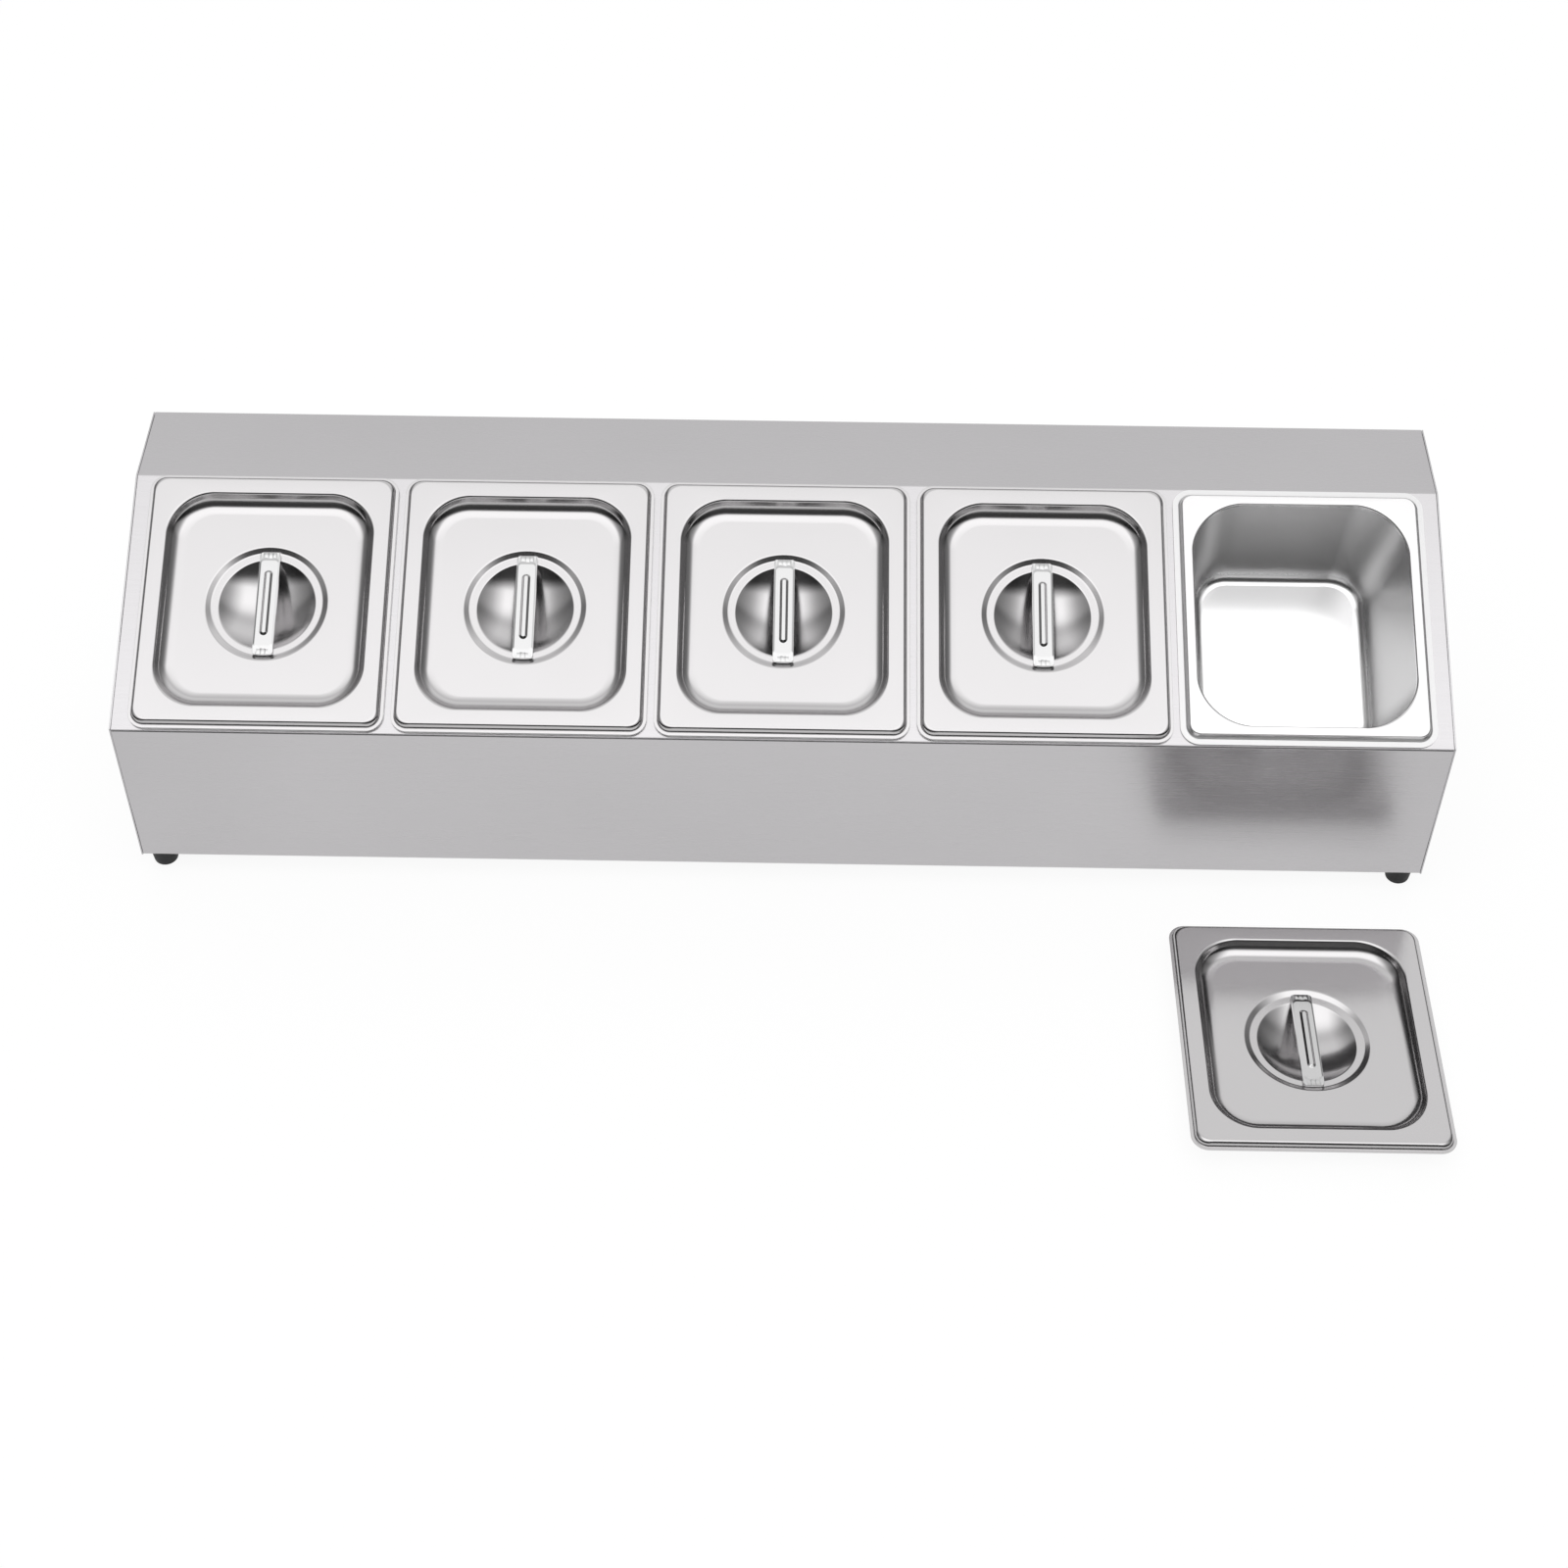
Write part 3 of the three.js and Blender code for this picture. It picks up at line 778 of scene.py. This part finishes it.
class HOLDER_OT_front_panel(bpy.types.Operator):
    """Fold the front panel with its base flange and the lip under the deck"""

    bl_idname = "condiment_holder.front_panel"
    bl_label = "Front panel"

    def execute(self, context):
        sizes = context.scene.holder_stand
        lip_y = FRONT_LOW.y + sizes.front_lip * math.cos(DECK_TILT)
        web_top = FRONT_HIGH.z - sizes.front_lip * math.sin(DECK_TILT)
        corners = [
            (FRONT_HIGH.y, FRONT_LOW.z),
            (FRONT_LOW.y, FRONT_LOW.z),
            (FRONT_LOW.y, web_top),
            (lip_y, FRONT_HIGH.z),
        ]
        fold_panel("front_panel", corners, Vector((0, -1, 0)), context.scene)
        return {"FINISHED"}


class HOLDER_OT_back_panel(bpy.types.Operator):
    """Fold the back panel with its base flange and the lip under the shelf"""

    bl_idname = "condiment_holder.back_panel"
    bl_label = "Back panel"

    def execute(self, context):
        sizes = context.scene.holder_stand
        corners = [
            (BACK_LOW.y, BACK_LOW.z),
            (BACK_HIGH.y, BACK_LOW.z),
            (BACK_HIGH.y, BACK_HIGH.z),
            (BACK_HIGH.y - sizes.back_lip, BACK_HIGH.z),
        ]
        fold_panel("back_panel", corners, Vector((0, 1, 0)), context.scene)
        return {"FINISHED"}


class HOLDER_OT_deck_sheet(bpy.types.Operator):
    """Fold the sloping deck and the shelf behind it from one sheet, and cut the openings for the pans"""

    bl_idname = "condiment_holder.deck_sheet"
    bl_label = "Deck sheet"

    def execute(self, context):
        sizes = context.scene.holder_stand
        crease_y = DECK_LOW.y + deck_length(sizes.sheet) * math.cos(DECK_TILT)
        corners = [
            (DECK_LOW.y, deck_front_z(sizes.sheet)),
            (crease_y, DECK_HIGH.z),
            (DECK_HIGH.y, DECK_HIGH.z),
        ]
        width = DECK_HIGH.x - DECK_LOW.x
        piece = fold_strip("deck_sheet_folded", width, corners, (sizes.crease_bend,), Vector((0, 0, 1)))
        opening = Ring(sizes.cutout_width / 2, sizes.cutout_length / 2, sizes.cutout_corner, 0.0)
        openings = [(opening, deck_place(number, 0.0, sizes.sheet)) for number in PAN_NUMBERS]
        finish_stand_sheet(piece, "deck_sheet", context.scene, openings)
        return {"FINISHED"}


def cut_end_panel(node, side, sizes):
    """Cuts the skin of an end panel to the stand's outline and turns its base flange in."""
    low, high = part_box(node)
    outer_x = high.x if side > 0 else low.x
    middle = Vector((outer_x, (low.y + high.y) / 2, (low.z + high.z) / 2))
    flange_from = FRONT_HIGH.y + sizes.seam
    flange_to = BACK_LOW.y - sizes.seam

    def on_flange(point):
        return abs(point.z - low.z) < TOUCH and flange_from - TOUCH < point.y < flange_to + TOUCH

    piece = begin(f"{node}_sheet")
    bpy.ops.mesh.primitive_plane_add(size=1, location=middle, rotation=(0, math.pi / 2, 0))
    size = (1, high.y - low.y, high.z - low.z)
    bpy.ops.transform.resize(value=size, center_override=middle)
    slope = (0, -math.sin(DECK_TILT), math.cos(DECK_TILT))
    front_edge = (outer_x, low.y, deck_front_z(sizes.sheet))
    bpy.ops.mesh.bisect(plane_co=front_edge, plane_no=slope, clear_outer=True)
    for y in (flange_from, flange_to):
        bpy.ops.mesh.select_all(action="SELECT")
        bpy.ops.mesh.bisect(plane_co=(outer_x, y, low.z), plane_no=(0, 1, 0))
    select_points(piece, on_flange)
    inward = -side * (sizes.sheet + sizes.end_flange)
    bpy.ops.mesh.extrude_edges_move(TRANSFORM_OT_translate={"value": (inward, 0, 0)})
    face_towards(piece, Vector((side, 0, 0)))
    return piece


class HOLDER_OT_end_panels(bpy.types.Operator):
    """Cut both end panels to the stand's outline and turn their base flanges in"""

    bl_idname = "condiment_holder.end_panels"
    bl_label = "End panels"

    def execute(self, context):
        for node, side in (("left_end_panel", -1), ("right_end_panel", 1)):
            piece = cut_end_panel(node, side, context.scene.holder_stand)
            finish_stand_sheet(piece, node, context.scene)
        return {"FINISHED"}


def finish_pressing(model, sheet, scene):
    """Turns a pressed skin face up, and gives it its thickness and eased edges."""
    face_towards(model, Vector((0, 0, 1)))
    thicken(model, sheet)
    ease_edges(model, scene.holder_stand.edge_break)


class HOLDER_OT_pans(bpy.types.Operator):
    """Press the pans and set them in the deck"""

    bl_idname = "condiment_holder.pans"
    bl_label = "Pans"

    def execute(self, context):
        scene = context.scene
        sizes = scene.holder_pan
        lip_top = sizes.seat_gap + sizes.sheet
        rim_top = lip_top + sizes.rim_rise
        lip = Ring(sizes.width / 2, sizes.depth_front_to_back / 2, sizes.lip_corner, lip_top)
        rim_foot = lip.inside(sizes.lip, lip_top)
        rim_edge = rim_foot.inside(sizes.rim_run, rim_top)
        mouth = rim_edge.inside(sizes.rim_width, rim_top)._replace(corner=sizes.mouth_corner)
        floor = mouth.inside(sizes.wall_inset, rim_top - sizes.depth)
        model = begin("pan_model")
        press(model, [lip, rim_foot, rim_edge, mouth, floor])
        fill(model, floor)
        round_fold(model, rim_foot, sizes.rim_bend)
        round_fold(model, rim_edge, sizes.rim_bend)
        round_fold(model, mouth, sizes.mouth_bend)
        round_fold(model, floor, sizes.floor_bend, WIDE_BEND_STEPS)
        finish_pressing(model, sizes.sheet, scene)
        places = {n: deck_place(n, 0.0, scene.holder_stand.sheet) for n in PAN_NUMBERS}
        rim = deck_place(PAN_NUMBERS[0], rim_top, scene.holder_stand.sheet)
        # The pans' steel holds painted shade down the walls and painted light on the floors
        bright = pan_steel(scene.holder_finish, sizes, rim)
        spread(model, "pan_{}_pressing", places, bright, "pan_{}", "pan_steel", "pan_{}")
        return {"FINISHED"}


def bowl_rings(sizes, edge_z):
    """Outlines of the finger bowl, part of a sphere, from its edge to near its middle."""
    ball = (sizes.bowl_radius**2 + sizes.bowl_depth**2) / (2 * sizes.bowl_depth)
    widest = math.asin(sizes.bowl_radius / ball)
    rings = []
    for step in range(BOWL_STEPS):
        angle = widest * (1 - step / BOWL_STEPS)
        drop = ball * (math.cos(angle) - math.cos(widest))
        rings.append(circle(ball * math.sin(angle), edge_z - drop))
    return rings


class HOLDER_OT_lids(bpy.types.Operator):
    """Press the lids: skirt and lip, recess, stepped ring and finger bowl"""

    bl_idname = "condiment_holder.lids"
    bl_label = "Lids"

    def execute(self, context):
        scene = context.scene
        sizes = scene.holder_lid
        top = sizes.plate_height
        floor_z = top - sizes.recess_depth
        ring_z = floor_z - sizes.ring_drop
        skirt = Ring(sizes.skirt_width / 2, sizes.skirt_length / 2, sizes.skirt_corner, sizes.sheet)
        lip = skirt.inside(-sizes.lip, sizes.sheet)
        plate = skirt.inside(sizes.skirt_run, top)
        edge_reach = sizes.recess_edge_radius * math.tan(sizes.recess_slope / 2)
        foot_reach = sizes.recess_foot_radius * math.tan((sizes.recess_slope - sizes.sweep_slope) / 2)
        sweep_reach = sizes.sweep_radius * math.tan(sizes.sweep_slope / 2)
        sweep_drop = sizes.sweep_run * math.tan(sizes.sweep_slope)
        wall_drop = sizes.recess_depth - sweep_drop
        opening = plate.inside(sizes.recess_margin, top)._replace(corner=sizes.recess_corner)
        edge = opening.inside(edge_reach, top)
        foot = edge.inside(wall_drop / math.tan(sizes.recess_slope), floor_z + sweep_drop)
        sweep = foot.inside(sizes.sweep_run, floor_z)
        ring_edge = circle(sizes.ring_radius, floor_z)
        ring_foot = circle(sizes.ring_radius - sizes.ring_run, ring_z)
        bowl = bowl_rings(sizes, ring_z)
        model = begin("lid_model")
        press(model, [lip, skirt, plate, edge, foot, sweep, ring_edge, ring_foot, *bowl])
        fill(model, bowl[-1])
        round_fold(model, skirt, sizes.lip_bend)
        round_fold(model, plate, sizes.plate_bend, WIDE_BEND_STEPS)
        round_fold(model, edge, edge_reach)
        round_fold(model, foot, foot_reach, WIDE_BEND_STEPS)
        round_fold(model, sweep, sweep_reach, WIDE_BEND_STEPS)
        round_fold(model, ring_edge, sizes.ring_bend)
        round_fold(model, ring_foot, sizes.ring_bend)
        round_fold(model, bowl[0], sizes.bowl_bend)
        finish_pressing(model, sizes.sheet, scene)
        finish = scene.holder_finish
        gloss = finish.lid_roughness
        bright = steel("lid_bright_steel", finish.lid_colour, gloss, PRESSED_GRAIN, PRESSED_RELIEF)
        spread(model, "lid_{}_pressing", lid_places(scene), bright, "lid_{}", "lid_steel", "lid_{}")
        return {"FINISHED"}


def strap_rings(sizes, base_z):
    """Outlines of a strap handle, from the foot of its flanges to the top of its bead."""
    half_length = sizes.length_over_all / 2
    pad_z = base_z + sizes.pad_rise
    top_z = base_z + sizes.rise
    pad_inner = half_length - sizes.pad_length
    bead_half = sizes.bead_width / 2
    crest_half = bead_half - sizes.bead_run
    crest_reach = sizes.bead_length / 2 - sizes.bead_run
    base = Ring(sizes.base_width / 2, half_length, sizes.corner, base_z)
    pad = Ring(sizes.pad_width / 2, half_length, sizes.corner, pad_z)
    ramp_foot = Ring(sizes.pad_width / 2 * SLACK, pad_inner, sizes.corner, pad_z)
    top = Ring(sizes.top_width / 2, pad_inner - sizes.ramp, sizes.corner, top_z)
    bead = Ring(bead_half, sizes.bead_length / 2, bead_half * SLACK, top_z)
    crest = Ring(crest_half, crest_reach, crest_half * SLACK, top_z + sizes.bead_height)
    return [base, pad, ramp_foot, top, bead, crest]


class HOLDER_OT_straps(bpy.types.Operator):
    """Form the strap handles, with their raised bead and welded ends"""

    bl_idname = "condiment_holder.straps"
    bl_label = "Strap handles"

    def execute(self, context):
        scene = context.scene
        sizes = scene.holder_strap
        lid = scene.holder_lid
        base_z = lid.plate_height - lid.recess_depth - lid.ring_drop + sizes.seat_gap
        rings = strap_rings(sizes, base_z)
        pad, ramp_foot, top, bead, crest = rings[1:]
        model = begin("strap_model")
        press(model, rings)
        fill(model, crest)
        round_fold(model, top, sizes.bend)
        round_fold(model, bead, sizes.bend)
        round_fold(model, crest, sizes.bend)
        raise_welds(model, pad, ramp_foot, sizes)
        finish_pressing(model, sizes.sheet, scene)
        finish = scene.holder_finish
        gloss = finish.strap_roughness
        polished = steel("strap_polished_steel", finish.strap_colour, gloss, PRESSED_GRAIN, PRESSED_RELIEF)
        places = lid_places(scene)
        spread(model, "lid_{}_strap", places, polished, "lid_{}", "handle_steel", "lid_handle_{}")
        return {"FINISHED"}


def raise_welds(piece, pad, ramp_foot, sizes):
    """Splits each end of a strap across and raises a weld bump in every part."""
    straight_x = pad.half_x - pad.corner

    def on_end(point):
        level_with_pad = abs(point.z - pad.z) < TOUCH
        past_ramp = abs(point.y) > ramp_foot.half_y - TOUCH
        return level_with_pad and past_ramp and abs(point.x) < straight_x + TOUCH

    def across(edge):
        return edge.select and abs(edge.verts[0].co.y - edge.verts[1].co.y) < TOUCH

    select_points(piece, on_end)
    bpy.ops.mesh.select_mode(type="EDGE")
    mesh = bmesh.from_edit_mesh(piece.data)
    for edge in mesh.edges:
        edge.select = across(edge)
    bmesh.update_edit_mesh(piece.data)
    bpy.ops.mesh.subdivide(number_cuts=WELDS_PER_END - 1)
    bpy.ops.mesh.select_mode(type="FACE")
    bpy.ops.mesh.select_all(action="DESELECT")
    mesh = bmesh.from_edit_mesh(piece.data)
    for face in mesh.faces:
        face.select = all(on_end(point.co) for point in face.verts)
    bmesh.update_edit_mesh(piece.data)
    bpy.ops.mesh.inset(thickness=sizes.weld_inset, depth=sizes.weld_height, use_individual=True)


class HOLDER_OT_feet(bpy.types.Operator):
    """Mould the rubber feet round their studs"""

    bl_idname = "condiment_holder.feet"
    bl_label = "Rubber feet"

    def execute(self, context):
        scene = context.scene
        sizes = scene.holder_foot
        low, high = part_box("foot_front_left")
        height = high.z - low.z
        bottom = circle(sizes.bottom_radius, 0.0)
        top = circle(sizes.top_radius, height)
        hole = circle(sizes.hole_radius, height)
        hole_end = circle(sizes.hole_radius, height - sizes.hole_depth)
        model = begin("foot_model")
        press(model, [bottom, top, hole, hole_end])
        fill(model, bottom)
        fill(model, hole_end)
        round_fold(model, bottom, sizes.bottom_bend)
        round_fold(model, top, sizes.top_bend)
        turn_faces_out()
        places = {place: Matrix.Translation(foot_centre(place)) for place in FOOT_PLACES}
        finish = scene.holder_finish
        black = rubber("foot_black_rubber", finish.rubber_colour, finish.rubber_roughness)
        spread(model, "foot_{}_rubber", places, black, "stand", "foot_rubber", "foot_{}")
        return {"FINISHED"}


class HOLDER_OT_fasteners(bpy.types.Operator):
    """Plate the studs, washers and nuts that hold the feet"""

    bl_idname = "condiment_holder.fasteners"
    bl_label = "Foot fasteners"

    def execute(self, context):
        finish = context.scene.holder_finish
        plating = zinc("fastener_zinc", finish.zinc_colour, finish.zinc_roughness)
        for place in FOOT_PLACES:
            for fastener in FASTENERS:
                node = frame["nodes"][f"{fastener}_{place}"]
                node.data.materials.clear()
                node.data.materials.append(plating)
        return {"FINISHED"}


# Stage


def camera_turn(settings):
    """The camera's rotation from its pitch, heading and roll."""
    pitch, heading, roll = settings.camera_pitch, settings.camera_heading, settings.camera_roll
    forward = Vector(
        (math.sin(heading) * math.cos(pitch), math.cos(heading) * math.cos(pitch), -math.sin(pitch))
    )
    level_right = Vector((math.cos(heading), -math.sin(heading), 0.0))
    level_down = forward.cross(level_right)
    right = math.cos(roll) * level_right + math.sin(roll) * level_down
    down = math.cos(roll) * level_down - math.sin(roll) * level_right
    return Matrix((right, -down, -forward)).transposed()


def set_camera(scene):
    """Stands the camera where the photograph was taken from."""
    settings = scene.holder_stage
    bpy.ops.object.camera_add()
    camera = bpy.context.object
    camera.name = "photograph_camera"
    camera.matrix_world = Matrix.Translation(settings.camera_place) @ camera_turn(settings).to_4x4()
    camera.data.lens = settings.lens
    scene.camera = camera


def lay_floor(scene):
    """Lays a pale floor that keeps the object's shadow, and that glows in reflections, brightest under the
    stand: a painted pool of light.
    """
    settings = scene.holder_stage
    bpy.ops.mesh.primitive_plane_add(size=settings.floor_size)
    floor = bpy.context.object
    floor.name = "floor"
    material, wire = new_material("pale_floor")
    path = wire.add("ShaderNodeLightPath")
    seen = path.outputs["Is Camera Ray"]
    mirrored = wire.math("MAXIMUM", path.outputs["Is Glossy Ray"], path.outputs["Is Transmission Ray"])
    shade = wire.add("ShaderNodeBsdfDiffuse")
    shade.inputs["Color"].default_value = settings.floor_colour
    glow = wire.add("ShaderNodeEmission")
    in_view = wire.math("MULTIPLY", seen, settings.floor_white)
    # Painted light: in reflections the floor glows, brightest under the stand and dimmer away from it
    away = wire.add("ShaderNodeVectorMath", operation="LENGTH")
    wire.feed(away.inputs[0], wire.add("ShaderNodeTexCoord").outputs["Object"])
    painted_floor_glow = wire.ranged(
        away.outputs["Value"],
        settings.near_reach,
        settings.far_reach,
        settings.floor_in_metal,
        settings.far_in_metal,
    )
    in_metal = wire.math("MULTIPLY", mirrored, painted_floor_glow)
    wire.feed(glow.inputs["Strength"], wire.math("ADD", in_view, in_metal))
    mix = wire.add("ShaderNodeMixShader")
    even_in_view = wire.math("MULTIPLY", seen, settings.floor_evenness)
    even_in_metal = wire.math("MULTIPLY", mirrored, settings.metal_evenness)
    wire.feed(mix.inputs[0], wire.math("ADD", even_in_view, even_in_metal))
    wire.feed(mix.inputs[1], shade.outputs["BSDF"])
    wire.feed(mix.inputs[2], glow.outputs["Emission"])
    wire.surface(mix.outputs["Shader"])
    floor.data.materials.append(material)


def hang_softbox(scene):
    """Hangs a square softbox above, in front and to the left, which the metal doesn't mirror."""
    settings = scene.holder_stage
    bpy.ops.object.light_add(type="AREA", location=settings.lamp_place)
    lamp = bpy.context.object
    lamp.name = "softbox"
    lamp.data.size = settings.lamp_size
    lamp.data.energy = settings.lamp_power
    lamp.visible_glossy = False
    lamp.rotation_euler = Vector(settings.lamp_place).to_track_quat("Z", "Y").to_euler()


# Studio light along an arc from the front over the top to the back: degrees from the zenith, level
STUDIO_ARC = (
    (-90, 0.13), (-72, 0.05), (-50, 0.05), (-41, 0.72), (-34, 1.50), (-10, 1.54),
    (0, 1.37), (3, 1.24), (7, 1.03), (13, 0.80), (20, 0.78), (28, 0.90),
    (40, 0.94), (54, 0.72), (68, 0.50), (80, 0.20), (90, 0.20),
)
# How that light falls off to both sides: share of the way out, share of the level
SIDE_FALL = (
    (0.40, 1.00), (0.55, 0.68), (0.65, 0.45), (0.73, 0.33), (0.80, 0.26), (0.91, 0.18), (1.00, 0.04),
)
# Light from below the horizon, where the floor ends
BELOW_LEVEL = 0.78
# Where a ramp's new marks stand until they get their places
RAMP_MIDDLE = 0.5
WHITE = (1.0, 1.0, 1.0, 1.0)


def graded(wire, value, stops):
    """A level that runs through stops (place from nothing to one, level)."""
    ramp = wire.add("ShaderNodeValToRGB")
    marks = ramp.color_ramp.elements
    while len(marks) < len(stops):
        marks.new(RAMP_MIDDLE)
    for mark, (place, strength) in zip(marks, stops):
        mark.position = place
        mark.color = (strength, strength, strength, 1.0)
    wire.feed(ramp.inputs["Fac"], value)
    return ramp.outputs["Color"]


def light_studio(scene):
    """A white backdrop for the camera, and for the metal a broad light overhead in darker surroundings."""
    world = bpy.data.worlds.new("studio")
    scene.world = world
    world.use_nodes = True
    wire = Wiring(world.node_tree)
    split = wire.add("ShaderNodeSeparateXYZ")
    wire.feed(split.inputs["Vector"], wire.add("ShaderNodeTexCoord").outputs["Generated"])
    x, y, z = split.outputs
    quarter = math.pi / 2
    along = wire.ranged(wire.math("ARCTAN2", y, z), -quarter, quarter, 0.0, 1.0)
    stops = [((math.radians(angle) + quarter) / (2 * quarter), strength) for angle, strength in STUDIO_ARC]
    arc = graded(wire, along, stops)
    side = graded(wire, wire.math("ABSOLUTE", x), SIDE_FALL)
    overhead = wire.math("MULTIPLY", arc, side)
    above = wire.math("GREATER_THAN", z, 0.0)
    below = wire.math("MULTIPLY", wire.math("SUBTRACT", 1.0, above), BELOW_LEVEL)
    studio = wire.math("ADD", wire.math("MULTIPLY", overhead, above), below)
    seen = wire.add("ShaderNodeLightPath").outputs["Is Camera Ray"]
    lit = wire.add("ShaderNodeBackground")
    wire.feed(lit.inputs["Strength"], wire.math("MAXIMUM", studio, seen))
    output = wire.add("ShaderNodeOutputWorld")
    wire.feed(output.inputs["Surface"], lit.outputs["Background"])
    lit.inputs["Color"].default_value = WHITE


class HOLDER_OT_stage(bpy.types.Operator):
    """Set the camera, the pale floor and the studio light"""

    bl_idname = "condiment_holder.stage"
    bl_label = "Stage"

    def execute(self, context):
        leave_all()
        context.scene.view_settings.view_transform = "Standard"
        set_camera(context.scene)
        lay_floor(context.scene)
        hang_softbox(context.scene)
        light_studio(context.scene)
        return {"FINISHED"}


class HOLDER_PT_panel(bpy.types.Panel):
    """Lists the steps that make the condiment holder"""

    bl_idname = "HOLDER_PT_panel"
    bl_label = "Condiment holder"
    bl_space_type = "VIEW_3D"
    bl_region_type = "UI"
    bl_category = "Holder"

    def draw(self, context):
        for step in STEPS:
            self.layout.operator(step.bl_idname)
        for group in GROUPS:
            box = self.layout.box()
            settings = getattr(context.scene, group)
            for name in settings.__annotations__:
                box.prop(settings, name)


STEPS = (
    HOLDER_OT_stage,
    HOLDER_OT_front_panel,
    HOLDER_OT_back_panel,
    HOLDER_OT_deck_sheet,
    HOLDER_OT_end_panels,
    HOLDER_OT_pans,
    HOLDER_OT_lids,
    HOLDER_OT_straps,
    HOLDER_OT_feet,
    HOLDER_OT_fasteners,
)
GROUPS = {
    "holder_stand": StandSizes,
    "holder_pan": PanSizes,
    "holder_lid": LidSizes,
    "holder_strap": StrapSizes,
    "holder_foot": FootSizes,
    "holder_finish": Finishes,
    "holder_stage": StageSettings,
}


def register():
    """Registers the settings, the steps and the panel."""
    for name, group in GROUPS.items():
        bpy.utils.register_class(group)
        setattr(bpy.types.Scene, name, bpy.props.PointerProperty(type=group))
    for step in STEPS:
        bpy.utils.register_class(step)
    bpy.utils.register_class(HOLDER_PT_panel)


def unregister():
    """Takes the panel, the steps and the settings away again."""
    bpy.utils.unregister_class(HOLDER_PT_panel)
    for step in reversed(STEPS):
        bpy.utils.unregister_class(step)
    for name, group in GROUPS.items():
        delattr(bpy.types.Scene, name)
        bpy.utils.unregister_class(group)


def main():
    """Makes the object and its stage."""
    register()
    bpy.ops.condiment_holder.stage()
    bpy.ops.condiment_holder.front_panel()
    bpy.ops.condiment_holder.back_panel()
    bpy.ops.condiment_holder.deck_sheet()
    bpy.ops.condiment_holder.end_panels()
    bpy.ops.condiment_holder.pans()
    bpy.ops.condiment_holder.lids()
    bpy.ops.condiment_holder.straps()
    bpy.ops.condiment_holder.feet()
    bpy.ops.condiment_holder.fasteners()
    leave_all()


if __name__ == "__main__":
    main()
